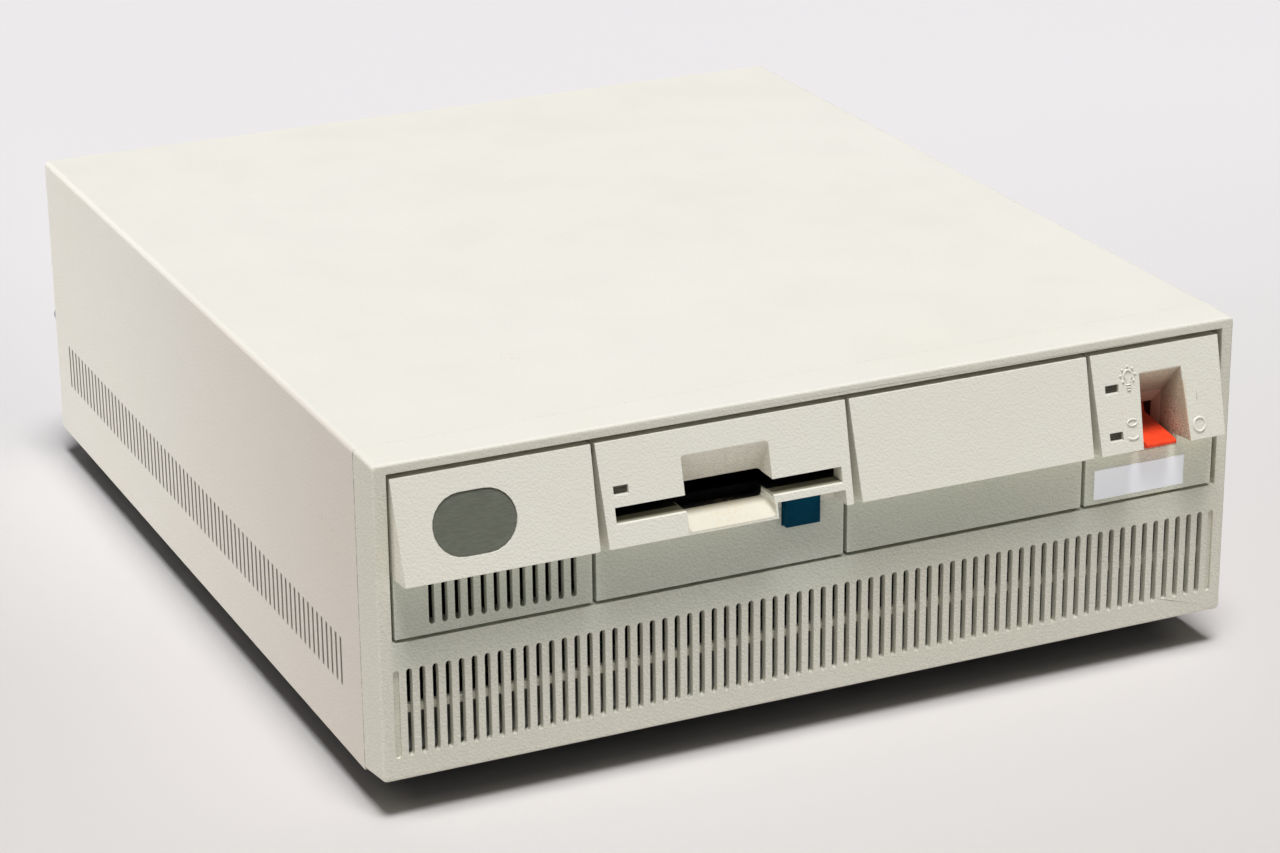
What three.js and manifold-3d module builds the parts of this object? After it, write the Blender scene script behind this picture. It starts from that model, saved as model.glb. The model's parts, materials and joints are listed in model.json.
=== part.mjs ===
// Vintage home computer: cover, front frame, four front units and what they hold, in millimetres.
// X runs right seen from the front and Z up from the table. Y runs back from the front frame's plane.
import * as THREE from 'three';
import { mergeVertices } from 'three/addons/utils/BufferGeometryUtils.js';
import Module from 'manifold-3d';

const wasm = await Module();
wasm.setup();

// Fits shared by all pieces
const fit = 0.3;
const overrun = 1;
const quarterTurn = Math.PI / 2;

// Case as a whole
const caseWidth = 360;
const caseDepth = 411;
const caseTop = 140;
const caseBottom = 13;

// Cover: top and two sides
const coverWall = 2.3;
const coverEdgeRadius = 2.2;
const coverInnerRadius = 0.6;
const ventCount = 71;
const ventPitch = 5.02;
const ventWidth = 1.4;
const ventBottom = 38.7;
const ventTop = 58;
const ventStart = 39.9;
const screwHeight = 66;
const screwInset = 3.8;
const lugThickness = 3.9;
const lugHeight = 14;
const lugDepth = 18;
const screwBore = 1.75;

// Front frame
const seamDepth = 18.5;
const frameTopDrop = 0.2;
const frameBottomRise = 2.5;
const frameSideTaper = 0.3;
const frameEdgeRadius = 1.2;
const frameCornerRadius = 1.8;
const frameFace = 3;
const frameWall = 2.6;
const windowLand = 5.5;
const windowBottom = 70.2;
const windowTopLand = 4.2;
const windowReturn = 7.5;
const windowReturnWall = 1.8;
const tongueLength = 7;
const tongueWall = 1.7;
const sideTongueInset = 7;

// Grille in the front frame; its outermost slots are blind
const grilleCount = 69;
const grillePitch = 5.1;
const grilleSlotWidth = 2.3;
const grilleBottom = 24.4;
const grilleTop = 59.5;
const grilleBlindDepth = 1;
const grilleBarHeight = 3;
const grilleBarDepth = 3;

// Front units: a flat lower panel and a wedge whose lip reaches forward
const unitMargin = 1.2;
const switchUnitMargin = 2.3;
const unitGap = 1.7;
const fanUnitWidth = 77.7;
const disketteUnitWidth = 102.1;
const switchUnitWidth = 57.8;
const unitBottomGap = 1.3;
const unitTopGap = 2.1;
const unitDepth = 8;
const unitWall = 2.8;
const lipHeight = 95.5;
const lipReach = 10.3;
const lipDraft = 1;

// Air slots and badge of the left unit
const fanSlotCount = 12;
const fanSlotPitch = 5.08;
const fanSlotWidth = 2.3;
const fanSlotInset = 14.5;
const fanSlotRise = 3.7;
const fanSlotLand = 1;
const badgeWidth = 32.8;
const badgeHeight = 23.6;
const badgeThickness = 0.8;
const badgePocket = 1.6;
const badgeInset = 30.1;
const badgeCentre = 114;

// Lamps
const lampWidth = 6;
const lampHeight = 3.4;
const lampSet = 0.8;
const lampPlay = 0.2;

// Diskette unit
const mouthInset = 4.9;
const mouthWidth = 92.6;
const mouthFloor = 104;
const mouthTop = 110;
const scoopInset = 33.1;
const scoopWidth = 35.7;
const scoopTop = 124.2;
const scoopRoofDepth = 6;
const scoopBackFloor = 100.3;
const scoopBackDepth = 1;
const scoopLipFloor = 96.6;
const recessRadius = 1.5;
const ledgeUnderside = 101.3;
const notchSide = 3.9;
const notchWall = 1;
const disketteLampInset = 5.1;
const disketteLampBottom = 114.2;
const buttonInset = 76.3;
const buttonWidth = 14.2;
const buttonBottom = 87.9;
const buttonTop = 99.6;
const buttonProud = 3.4;
const buttonPlay = 0.35;
const stemWidth = 6;
const stemHeight = 5;
const stemLength = 26;

// Diskette drive behind the unit
const driveSideGap = 0.6;
const driveLength = 146;
const driveBottom = 85;
const driveTop = 117;
const driveSheet = 1;
const faceplateThickness = 2;
const flapThickness = 1;
const flapPinRadius = 0.9;
const mechPlateHeight = 94;
const mechPlateThickness = 2;
const mechPlateStart = 42;
const spindleRadius = 17;
const spindleHeight = 3;
const spindleShaftRadius = 3;
const spindleDepth = 56;
const carriageWidth = 26;
const carriageLength = 20;
const carriageHeight = 9;
const carriageRailRadius = 1.5;
const carriageRailSpread = 16;
const carriageRest = 88;
const railPostWidth = 22;
const railPostThickness = 2;

// Switch unit, its funnel and its paddle
const funnelInset = 20.9;
const funnelWidth = 19;
const funnelTop = 124.5;
const funnelDepth = 13;
const throatWidth = 14.1;
const throatTop = 105.4;
const throatFloor = 92.6;
const funnelFloor = 90.8;
const switchLampInset = 5.2;
const powerLampBottom = 118.3;
const diskLampBottom = 100.4;
const paddleWidth = 13.4;
const paddlePivotDepth = 30;
const paddlePivotHeight = 97;
const paddleDrumRadius = 13;
const paddleDrumPlay = 0.6;
const paddleReach = 6.5;
const paddleTipBottom = 93.6;
const paddleTipThickness = 2.2;
const paddleRootTop = 99.3;
const paddleRootBottom = 93.6;
const paddlePinRadius = 2;
const paddlePinLength = 2.4;
const housingWall = 2.4;
const housingSideGap = 0.85;
const cradleWall = 4;
const labelInset = 4.1;
const labelWidth = 40.8;
const labelRise = 1.9;
const labelHeight = 12.3;
const labelThickness = 0.15;
const labelGap = 0.05;

// Base pan, rear panel and feet
const panSheet = 1.5;
const panFlangeHeight = 24;
const panFlangeSheet = 1.2;
const panFront = 27;
const panFrontHeight = 14;
const rearSheet = 1.5;
const footRadius = 12;
const footTopRadius = 14;
const footInsetX = 34;
const footInsetY = 34;

// System board and what stands on it
const boardThickness = 1.6;
const boardLift = 6.5;
const bossRadius = 4;
const bossInset = 12;
const boardLeftInset = 6;
const boardSupplyGap = 10.7;
const boardFront = 62;
const boardRearGap = 10;
const chipThickness = 3.6;
const processorSide = 28;
const processorInset = 84;
const processorDepth = 90;
const moduleLength = 90;
const moduleHeight = 20;
const moduleThickness = 4;
const modulePitch = 12;
const moduleInset = 60;
const moduleDepth = 96;
const chipRowLength = 33;
const chipRowWidth = 15;
const chipRowPitch = 24;
const chipRowCount = 6;
const chipRowStart = 118;
const chipRowInset = 38;
const chipRowGap = 48;

// Expansion places at the left rear
const slotCount = 4;
const slotPitch = 20;
const slotFirstInset = 17;
const slotOpeningWidth = 12;
const slotOpeningBottom = 40;
const slotOpeningDrop = 7.7;
const slotCoverMargin = 3;
const slotCoverSheet = 1.3;
const connectorLength = 140;
const connectorWidth = 8;
const connectorHeight = 12;
const connectorGroove = 2.4;
const connectorGrooveDepth = 8;
const connectorRearGap = 33.2;
const cardThickness = 1.6;
const cardFront = 147.2;
const cardHeight = 84;
const cardHeelDepth = 6;
const cardChipHeight = 3;
const cardChipSide = 30;
const cardChipStart = 30;
const cardChipPitch = 60;

// Ports on the rear panel, set in from the board's right edge
const portFloorGap = 0.3;
const portBodyDepth = 16;
const portBodyHeight = 13;
const portShellHeight = 9;
const portShellWall = 0.9;
const portShellTaper = 1.6;
const portReach = 3.5;
const portSocketDepth = 7;
const roundPortWidth = 14;
const roundPortNose = 13;
const roundPortBore = 4.6;
const keyboardPortInset = 152;
const pointerPortInset = 133;
const parallelPortInset = 95;
const parallelPortWidth = 44;
const serialPortInset = 42;
const serialPortWidth = 44;
const videoPortInset = 176;
const videoPortWidth = 24;
const portFlange = 3;

// Drive support
const supportWall = 1.6;
const shelfTop = 69;
const shelfThickness = 3;
const supportWallTop = 112;
const supportWallPast = 4;
const supportLeg = 9;
const driveRail = 8;
const legClearance = 2;
const fixedDiskWidth = 102;
const fixedDiskLength = 146;
const fixedDiskHeight = 36;
const fixedDiskLidInset = 6;
const fixedDiskLidHeight = 4;
const fixedDiskSetback = 6;
const fixedDiskGap = 14;
const riserThickness = 1.6;
const riserWidth = 70;
const riserSetback = 3;

// Fan housing with speaker and battery
const housingBottomGap = 0.8;
const fanHousingLength = 60;
const fanHousingWall = 2.2;
const fanRadius = 25.5;
const fanTipGap = 1;
const fanHubGap = 0.6;
const fanOffset = 7;
const fanHubRadius = 11;
const fanHubLength = 12;
const fanBladeCount = 7;
const fanBladeThickness = 1.4;
const fanBladeChord = 13;
const fanBladePitch = 0.6;
const fanShaftRadius = 2;
const fanStrutWidth = 4;
const fanStrutDepth = 2.4;
const fanBossRadius = 6;
const speakerRadius = 19;
const speakerNeckRadius = 10;
const speakerRimDepth = 3;
const speakerDepth = 12;
const speakerInset = 22;
const batteryRadius = 7.5;
const batteryLength = 34;
const batteryInset = 10;
const batteryDepth = 10;

// Power supply
const supplyFront = 50;
const supplySheet = 1.2;
const supplyRoofGap = 6.7;
const supplySideGap = 1.4;
const supplyWindowMargin = 4;
const supplyFanSide = 50;
const supplyFanDepth = 18;
const supplyFanRadius = 22;
const supplyFanHeight = 52;
const supplyHubRadius = 9;
const supplyHubLength = 10;
const supplyBladeChord = 10;
const guardSlotCount = 9;
const guardSlotPitch = 4.6;
const guardSlotWidth = 2.8;
const guardRadius = 21;
const inletWidth = 30;
const inletHeight = 23;
const inletCentre = 106;
const inletDepth = 20;
const inletMouthWidth = 24.5;
const inletMouthHeight = 16.5;
const inletMouthDepth = 15;
const inletPinWidth = 4;
const inletPinThickness = 1.6;
const inletPinLength = 12;
const inletPinSpread = 7;
const inletPinRise = 1.8;
const supplyBoardLift = 5;
const supplyBoardRearGap = 69.2;
const supplyBoardStart = 40;
const transformerSide = 34;
const transformerStart = 24;
const transformerHeight = 40;
const capacitorRadius = 12;
const capacitorHeight = 42;
const capacitorInset = 36;
const capacitorPitch = 26;
const sinkHeight = 55;
const sinkThickness = 4;
const sinkLength = 90;
const sinkStart = 70;

// Keylock and cover screws at the rear
const keylockInset = 28.7;
const keylockHeight = 112;
const keySleeveRadius = 7.5;
const keyBarrelRadius = 5.6;
const keyFlangeRadius = 9.5;
const keyFlangeThickness = 1.7;
const keySleeveLength = 19;
const keySlotWidth = 1.6;
const keySlotHeight = 7;
const keySlotDepth = 5;
const camWidth = 8;
const camReach = 14;
const camThickness = 2;
const screwRadius = 1.4;
const screwHeadRadius = 3.6;
const screwHeadLength = 3.5;
const screwLength = 15;
const screwSlotWidth = 0.9;
const screwSlotDepth = 1.2;

// Counts of steps round curves
const cornerSteps = 3;
const slotEndSteps = 2;
const ventEndSteps = 1;
const roundSides = 24;
const smallSides = 12;
const footSides = 20;
const bossSides = 6;
const ovalEndSteps = 6;

// Shared colours and finishes
const finishes = {
  cream: { color: 0xe9e4d6, roughness: 0.6, metalness: 0 },
  frame: { color: 0xe7e2d3, roughness: 0.62, metalness: 0 },
  badge: { color: 0x5b5d57, roughness: 0.45, metalness: 0 },
  blue: { color: 0x0f4f73, roughness: 0.45, metalness: 0 },
  red: { color: 0xe63a16, roughness: 0.45, metalness: 0 },
  black: { color: 0x1b1b1c, roughness: 0.5, metalness: 0 },
  lamp: { color: 0x3d4338, roughness: 0.25, metalness: 0 },
  label: { color: 0xdfe5ec, roughness: 0.5, metalness: 0 },
  cell: { color: 0x8d9096, roughness: 0.4, metalness: 0.5 },
  steel: { color: 0xb4b6b5, roughness: 0.38, metalness: 0.9 },
  pan: { color: 0x9a9c98, roughness: 0.5, metalness: 0.6 },
  rubber: { color: 0x24252a, roughness: 0.85, metalness: 0 },
  board: { color: 0x2d5d3f, roughness: 0.5, metalness: 0 },
  chip: { color: 0x222224, roughness: 0.45, metalness: 0 },
  tray: { color: 0x77766f, roughness: 0.6, metalness: 0 },
  brass: { color: 0xb49a58, roughness: 0.35, metalness: 0.9 },
};

// Places worked out from the sizes above
const coverInner = caseWidth / 2 - coverWall;
const roofUnderside = caseTop - coverWall;
const panHalf = coverInner - fit;
const panBottom = caseBottom + fit;
const panTop = panBottom + panSheet;
const rearInner = caseDepth - rearSheet;
const rearSeat = rearInner - fit;
const windowHalf = caseWidth / 2 - windowLand;
const windowTop = caseTop - windowTopLand;
const unitTop = windowTop - unitTopGap;
const unitBottom = windowBottom + unitBottomGap;
const moduleFront = unitDepth + fit;
const fanUnitLeft = unitMargin - windowHalf;
const disketteUnitLeft = fanUnitLeft + fanUnitWidth + unitGap;
const switchUnitRight = windowHalf - switchUnitMargin;
const switchUnitLeft = switchUnitRight - switchUnitWidth;
const fanUnitSpan = [fanUnitLeft, fanUnitLeft + fanUnitWidth];
const disketteUnitSpan = [disketteUnitLeft, disketteUnitLeft + disketteUnitWidth];
const blankUnitSpan = [disketteUnitSpan[1] + unitGap, switchUnitLeft - unitGap];
const switchUnitSpan = [switchUnitLeft, switchUnitRight];
const wedgeSlope = lipReach / (unitTop - lipHeight);
const wedgeTilt = Math.atan(wedgeSlope);
const boardBottom = panTop + boardLift;
const boardTop = boardBottom + boardThickness;
const boardLeft = boardLeftInset - panHalf;
const supplyLeft = switchUnitLeft + fit;
const boardRight = supplyLeft - boardSupplyGap;
const keylockX = supplyLeft - keylockInset;
const supplyTop = roofUnderside - supplyRoofGap;
const slotOpeningTop = roofUnderside - slotOpeningDrop;
const supportWallLength = driveLength + supportWallPast;
const shelfLength = driveLength + fixedDiskGap + fixedDiskWidth + fixedDiskSetback;
const boardRear = rearSeat - boardRearGap;
const screwX = caseWidth / 2 - screwInset;
const rearMost = caseDepth + fit + screwHeadLength;

// Y of the wedge's face at a height
function faceDepth(height) {
  return -wedgeSlope * (unitTop - height);
}

function around(centre, size) {
  return [centre - size / 2, centre + size / 2];
}

function block(xs, ys, zs) {
  return loft([plainRing(xs, ys[0], zs), plainRing(xs, ys[1], zs)]);
}

// Round bar along Y, Z or X between two places
function rodY(radius, x, ys, z, sides = roundSides) {
  const geometry = new THREE.CylinderGeometry(radius, radius, ys[1] - ys[0], sides);
  return geometry.translate(x, (ys[0] + ys[1]) / 2, z);
}

function rodZ(radius, x, y, zs, sides = roundSides) {
  const geometry = new THREE.CylinderGeometry(radius, radius, zs[1] - zs[0], sides);
  return geometry.rotateX(quarterTurn).translate(x, y, (zs[0] + zs[1]) / 2);
}

function rodX(radius, xs, y, z, sides = roundSides) {
  const geometry = new THREE.CylinderGeometry(radius, radius, xs[1] - xs[0], sides);
  return geometry.rotateZ(quarterTurn).translate((xs[0] + xs[1]) / 2, y, z);
}

// Outline drawn in X and Z, run along Y
function alongY(shape, ys, steps) {
  const depth = ys[1] - ys[0];
  const geometry = new THREE.ExtrudeGeometry(shape, { depth, bevelEnabled: false, curveSegments: steps });
  return geometry.rotateX(quarterTurn).translate(0, ys[1], 0);
}

// Outline drawn in Y and Z, run along X
function alongX(shape, xs, steps) {
  const depth = xs[1] - xs[0];
  const geometry = new THREE.ExtrudeGeometry(shape, { depth, bevelEnabled: false, curveSegments: steps });
  const turn = new THREE.Matrix4().makeBasis(
    new THREE.Vector3(0, 1, 0), new THREE.Vector3(0, 0, 1), new THREE.Vector3(1, 0, 0));
  return geometry.applyMatrix4(turn).translate(xs[0], 0, 0);
}

function outline(points) {
  return new THREE.Shape(points.map(([a, b]) => new THREE.Vector2(a, b)));
}

// Slot with round ends, upright, between two heights
function slotShape(centre, width, bottom, top) {
  const radius = width / 2;
  const shape = new THREE.Shape();
  shape.moveTo(centre - radius, bottom + radius);
  shape.absarc(centre, bottom + radius, radius, Math.PI, 2 * Math.PI, false);
  shape.absarc(centre, top - radius, radius, 0, Math.PI, false);
  return shape;
}

// Oval lying on its side: two half circles joined by straight runs
function ovalShape(width, height) {
  const radius = height / 2;
  const run = (width - height) / 2;
  const shape = new THREE.Shape();
  shape.moveTo(-run, -radius);
  shape.absarc(run, 0, radius, -quarterTurn, quarterTurn, false);
  shape.absarc(-run, 0, radius, quarterTurn, 3 * quarterTurn, false);
  return shape;
}

// Closed body from rings of points, each ring in one plane, front ring first
function loft(rings) {
  const count = rings[0].length;
  const positions = rings.flat(2);
  const index = [];
  for (let r = 0; r < rings.length - 1; r += 1) {
    for (let i = 0; i < count; i += 1) {
      const a = r * count + i;
      const b = r * count + (i + 1) % count;
      index.push(a, a + count, b, b, a + count, b + count);
    }
  }
  const last = (rings.length - 1) * count;
  for (let i = 1; i < count - 1; i += 1) {
    index.push(0, i, i + 1, last, last + i + 1, last + i);
  }
  const geometry = new THREE.BufferGeometry();
  geometry.setAttribute('position', new THREE.Float32BufferAttribute(positions, 3));
  geometry.setIndex(index);
  return geometry;
}

// Ring of a rectangle with rounded corners in a plane of constant Y
function roundedRing(half, bottom, top, radius, y) {
  const corners = [
    [half - radius, bottom + radius, -quarterTurn],
    [half - radius, top - radius, 0],
    [radius - half, top - radius, quarterTurn],
    [radius - half, bottom + radius, 2 * quarterTurn],
  ];
  return corners.flatMap(([x, z, start]) => {
    const points = [];
    for (let i = 0; i <= cornerSteps; i += 1) {
      const angle = start + quarterTurn * i / cornerSteps;
      points.push([x + radius * Math.cos(angle), y, z + radius * Math.sin(angle)]);
    }
    return points;
  });
}

// Rectangle in a plane of constant Y, for tapered pockets and prisms
function plainRing(xs, y, zs) {
  return [[xs[1], y, zs[0]], [xs[1], y, zs[1]], [xs[0], y, zs[1]], [xs[0], y, zs[0]]];
}

function solid(geometry) {
  const bare = geometry.clone();
  bare.deleteAttribute('normal');
  bare.deleteAttribute('uv');
  const merged = mergeVertices(bare);
  const vertProperties = new Float32Array(merged.attributes.position.array);
  const triVerts = new Uint32Array(merged.index.array);
  return new wasm.Manifold(new wasm.Mesh({ numProp: 3, vertProperties, triVerts }));
}

function joined(geometries) {
  return geometries.map(solid).reduce((sum, next) => sum.add(next));
}

function cut(body, geometries) {
  return geometries.map(solid).reduce((rest, tool) => rest.subtract(tool), body);
}

function geometryOf(body) {
  const mesh = body.getMesh();
  const geometry = new THREE.BufferGeometry();
  geometry.setAttribute('position', new THREE.BufferAttribute(mesh.vertProperties, 3));
  geometry.setIndex(new THREE.BufferAttribute(mesh.triVerts, 1));
  const flat = geometry.toNonIndexed();
  flat.computeVertexNormals();
  return flat;
}

const group = new THREE.Group();

function add(name, body, finishName) {
  const geometry = body.isBufferGeometry ? body : geometryOf(body);
  const mesh = new THREE.Mesh(geometry, new THREE.MeshStandardMaterial(finishes[finishName]));
  mesh.name = name;
  group.add(mesh);
  return mesh;
}

// Cover

function coverShape() {
  const half = caseWidth / 2;
  const radius = coverEdgeRadius;
  const centre = coverInner - coverInnerRadius;
  const height = roofUnderside - coverInnerRadius;
  const shape = new THREE.Shape();
  shape.moveTo(coverInner, caseBottom);
  shape.lineTo(half, caseBottom);
  shape.absarc(half - radius, caseTop - radius, radius, 0, quarterTurn, false);
  shape.absarc(radius - half, caseTop - radius, radius, quarterTurn, 2 * quarterTurn, false);
  shape.lineTo(-half, caseBottom);
  shape.lineTo(-coverInner, caseBottom);
  shape.absarc(-centre, height, coverInnerRadius, 2 * quarterTurn, quarterTurn, true);
  shape.absarc(centre, height, coverInnerRadius, quarterTurn, 0, true);
  return shape;
}

function coverVents(side) {
  const outer = side * (caseWidth / 2 + overrun);
  const inner = side * (coverInner - overrun);
  const xs = side > 0 ? [inner, outer] : [outer, inner];
  const vents = [];
  for (let i = 0; i < ventCount; i += 1) {
    const shape = slotShape(ventStart + i * ventPitch, ventWidth, ventBottom, ventTop);
    vents.push(alongX(shape, xs, ventEndSteps));
  }
  return vents;
}

function coverLug(side) {
  const inner = side * (coverInner - lugThickness);
  const outer = side * (coverInner + coverWall / 2);
  const xs = side > 0 ? [inner, outer] : [outer, inner];
  return block(xs, [rearSeat - lugDepth, rearSeat], around(screwHeight, lugHeight));
}

function addCover() {
  const shell = solid(alongY(coverShape(), [seamDepth, caseDepth], cornerSteps));
  const sides = [-1, 1];
  const whole = sides.reduce((sum, side) => sum.add(solid(coverLug(side))), shell);
  const bores = sides.map((side) => {
    const ys = [rearSeat - lugDepth - overrun, rearSeat + overrun];
    return rodY(screwBore, side * screwX, ys, screwHeight, smallSides);
  });
  add('top_cover', cut(whole, [...bores, ...sides.flatMap(coverVents)]), 'cream');
}

// Front frame

function frameRing(inset, y) {
  const taper = 1 - y / seamDepth;
  const half = caseWidth / 2 - frameSideTaper * taper - inset;
  const bottom = caseBottom + frameBottomRise * taper + inset;
  const top = caseTop - frameTopDrop * taper - inset;
  return roundedRing(half, bottom, top, frameCornerRadius - inset, y);
}

function frameOuter() {
  const rings = [];
  for (let i = 0; i <= cornerSteps; i += 1) {
    const angle = quarterTurn * i / cornerSteps;
    const inset = frameEdgeRadius * (1 - Math.sin(angle));
    rings.push(frameRing(inset, frameEdgeRadius * (1 - Math.cos(angle))));
  }
  rings.push(frameRing(0, seamDepth));
  return loft(rings);
}

function grilleSlot(i) {
  const isBlind = i === 0 || i === grilleCount - 1;
  const centre = (i - (grilleCount - 1) / 2) * grillePitch;
  const shape = slotShape(centre, grilleSlotWidth, grilleBottom, grilleTop);
  const end = isBlind ? grilleBlindDepth : frameFace + fit;
  return alongY(shape, [-overrun, end], slotEndSteps);
}

function addFrame() {
  const innerHalf = caseWidth / 2 - frameSideTaper - frameWall;
  const innerBottom = caseBottom + frameBottomRise + frameWall;
  const innerTop = windowTop;
  const hollow = block([-innerHalf, innerHalf], [frameFace, seamDepth + overrun], [innerBottom, innerTop]);
  const window = block([-windowHalf, windowHalf], [-overrun, seamDepth], [windowBottom, windowTop]);
  const shell = cut(solid(frameOuter()), [hollow, window]);
  const sillZs = [windowBottom - windowReturnWall, windowBottom];
  const sill = block([-innerHalf - fit, innerHalf + fit], [frameFace - fit, windowReturn], sillZs);
  const cheeks = [-1, 1].map((side) => {
    const xs = [side * windowHalf, side * (innerHalf + fit)].sort((a, b) => a - b);
    return block(xs, [frameFace - fit, windowReturn], [windowBottom - windowReturnWall, windowTop + fit]);
  });
  const barZs = around((grilleBottom + grilleTop) / 2, grilleBarHeight);
  const barYs = [frameFace - fit, frameFace + grilleBarDepth];
  const bar = block([-innerHalf - fit, innerHalf + fit], barYs, barZs);
  const tongueYs = [seamDepth - tongueLength, seamDepth + tongueLength];
  const tongueOuter = coverInner - fit;
  const tongueTop = roofUnderside - fit;
  const topTongue = block([-innerHalf, innerHalf], tongueYs, [tongueTop - tongueWall, tongueTop]);
  const sideTongues = [-1, 1].map((side) => {
    const xs = [side * tongueOuter, side * (tongueOuter - tongueWall)].sort((a, b) => a - b);
    return block(xs, tongueYs, [innerBottom + sideTongueInset, unitBottom]);
  });
  const whole = joined([sill, bar, ...cheeks, topTongue, ...sideTongues]).add(shell);
  const slots = Array.from({ length: grilleCount }, (_, i) => grilleSlot(i));
  add('front_frame', cut(whole, slots), 'frame');
}

// Front units

// Outer body of a unit: lower panel, deep rim and the wedge with its drafted sides
function unitBody(span) {
  const panel = block(span, [0, unitDepth], [unitBottom, unitTop]);
  const lip = [span[0] + lipDraft, span[1] - lipDraft];
  const wedge = loft([
    plainRing(lip, -lipReach, [lipHeight, lipHeight + fit]),
    plainRing(span, 0, [lipHeight, unitTop]),
  ]);
  return joined([panel, wedge]);
}

// Hollow behind a unit's face, open to the back
function unitHollow(span) {
  const xs = [span[0] + unitWall, span[1] - unitWall];
  const back = unitDepth + overrun;
  const lower = block(xs, [unitWall, back], [unitBottom + unitWall, unitTop - unitWall]);
  const nose = [xs[0] + lipDraft, xs[1] - lipDraft];
  const floor = lipHeight + unitWall;
  const noseDepth = faceDepth(floor) + unitWall / Math.cos(wedgeTilt);
  const upper = loft([
    plainRing(nose, noseDepth, [floor, floor + fit]),
    plainRing(xs, unitWall, [floor, unitTop - unitWall]),
  ]);
  return [lower, upper];
}

// Moves a body drawn flat, facing -Y at the origin, onto the wedge's sloping face
function ontoWedge(geometry, x, height) {
  return geometry.rotateX(-wedgeTilt).translate(x, faceDepth(height), height);
}

function lampHole(left, bottom) {
  const ys = [-lipReach - overrun, unitDepth + overrun];
  return block([left, left + lampWidth], ys, [bottom, bottom + lampHeight]);
}

function addLamp(name, left, bottom) {
  const xs = [left + lampPlay, left + lampWidth - lampPlay];
  const zs = [bottom + lampPlay, bottom + lampHeight - lampPlay];
  const front = faceDepth(bottom + lampHeight) + lampSet;
  add(name, block(xs, [front, unitDepth], zs), 'lamp');
}

function addFanUnit() {
  const slots = [];
  for (let i = 0; i < fanSlotCount; i += 1) {
    const centre = fanUnitLeft + fanSlotInset + i * fanSlotPitch;
    const shape = slotShape(centre, fanSlotWidth, unitBottom + fanSlotRise, lipHeight - fanSlotLand);
    slots.push(alongY(shape, [-overrun, unitWall + overrun], slotEndSteps));
  }
  const badgeX = fanUnitLeft + badgeInset;
  const oval = ovalShape(badgeWidth, badgeHeight);
  const pocket = ontoWedge(alongY(oval, [-overrun, badgePocket], ovalEndSteps), badgeX, badgeCentre);
  const hollow = unitHollow(fanUnitSpan);
  add('fan_bezel', cut(unitBody(fanUnitSpan), [...hollow, pocket, ...slots]), 'cream');
  const plate = ovalShape(badgeWidth - fit * 2, badgeHeight - fit * 2);
  const plateYs = [badgePocket - fit - badgeThickness, badgePocket - fit];
  add('badge_plate', ontoWedge(alongY(plate, plateYs, ovalEndSteps), badgeX, badgeCentre), 'badge');
}

// Button's hole in the lower panel of the diskette unit
function buttonSpan(play) {
  const left = disketteUnitLeft + buttonInset;
  return [left - play, left + buttonWidth + play];
}

// Hollow with rounded corners, from rings given as depth, floor and top
function recess(xs, rings) {
  const half = (xs[1] - xs[0]) / 2;
  const hollow = loft(rings.map(([y, floor, top]) => roundedRing(half, floor, top, recessRadius, y)));
  return hollow.translate((xs[0] + xs[1]) / 2, 0, 0);
}

function addDisketteUnit() {
  const left = disketteUnitLeft;
  const front = -lipReach - overrun;
  const back = unitDepth + overrun;
  const mouthXs = [left + mouthInset, left + mouthInset + mouthWidth];
  const mouth = block(mouthXs, [front, back], [mouthFloor, mouthTop]);
  const scoopXs = [left + scoopInset, left + scoopInset + scoopWidth];
  // Finger recess above the mouth: its roof falls from the face to the mouth's top
  const roofRise = (scoopTop - mouthTop) / (scoopRoofDepth - faceDepth(scoopTop));
  const roofFront = scoopTop + roofRise * (faceDepth(scoopTop) - front);
  const roofFloor = mouthFloor + fit;
  const roof = recess(scoopXs, [[front, roofFloor, roofFront], [scoopRoofDepth, roofFloor, mouthTop]]);
  // Finger scoop below the mouth: its floor falls gently to the lip
  const scoopTopInside = mouthTop - fit;
  const scoop = recess(scoopXs, [
    [front, scoopLipFloor, scoopTopInside],
    [-lipReach, scoopLipFloor, scoopTopInside],
    [scoopBackDepth, scoopBackFloor, scoopTopInside],
    [back, scoopBackFloor, scoopTopInside],
  ]);
  const notchXs = [scoopXs[1] + notchWall, left + disketteUnitWidth - notchSide];
  const notch = block(notchXs, [front, 0], [lipHeight - overrun, ledgeUnderside]);
  const holeZs = [buttonBottom - buttonPlay, buttonTop + buttonPlay];
  const hole = block(buttonSpan(buttonPlay), [-overrun, back], holeZs);
  const lamp = lampHole(left + disketteLampInset, disketteLampBottom);
  const body = cut(unitBody(disketteUnitSpan), [mouth, roof, scoop, notch, hole, lamp]);
  add('diskette_bezel', body, 'cream');
  addLamp('diskette_lamp', left + disketteLampInset, disketteLampBottom);
}

function addBlankUnit() {
  add('blank_bezel', cut(unitBody(blankUnitSpan), unitHollow(blankUnitSpan)), 'cream');
}

function throatSpan() {
  return around(switchUnitLeft + funnelInset + funnelWidth / 2, throatWidth);
}

// Funnel's hollow: walls, roof and floor close in from the wedge's face to the throat
function switchFunnel() {
  const left = switchUnitLeft + funnelInset;
  const front = -lipReach - overrun;
  const share = (faceDepth(funnelTop) - front) / (funnelDepth - faceDepth(funnelTop));
  const mouthZs = [funnelFloor, funnelTop + (funnelTop - throatTop) * share];
  const flare = share * (funnelWidth - throatWidth) / 2;
  const throatZs = [throatFloor, throatTop];
  return loft([
    plainRing([left - flare, left + funnelWidth + flare], front, mouthZs),
    plainRing(throatSpan(), funnelDepth, throatZs),
    plainRing(throatSpan(), funnelDepth + overrun, throatZs),
  ]);
}

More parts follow.
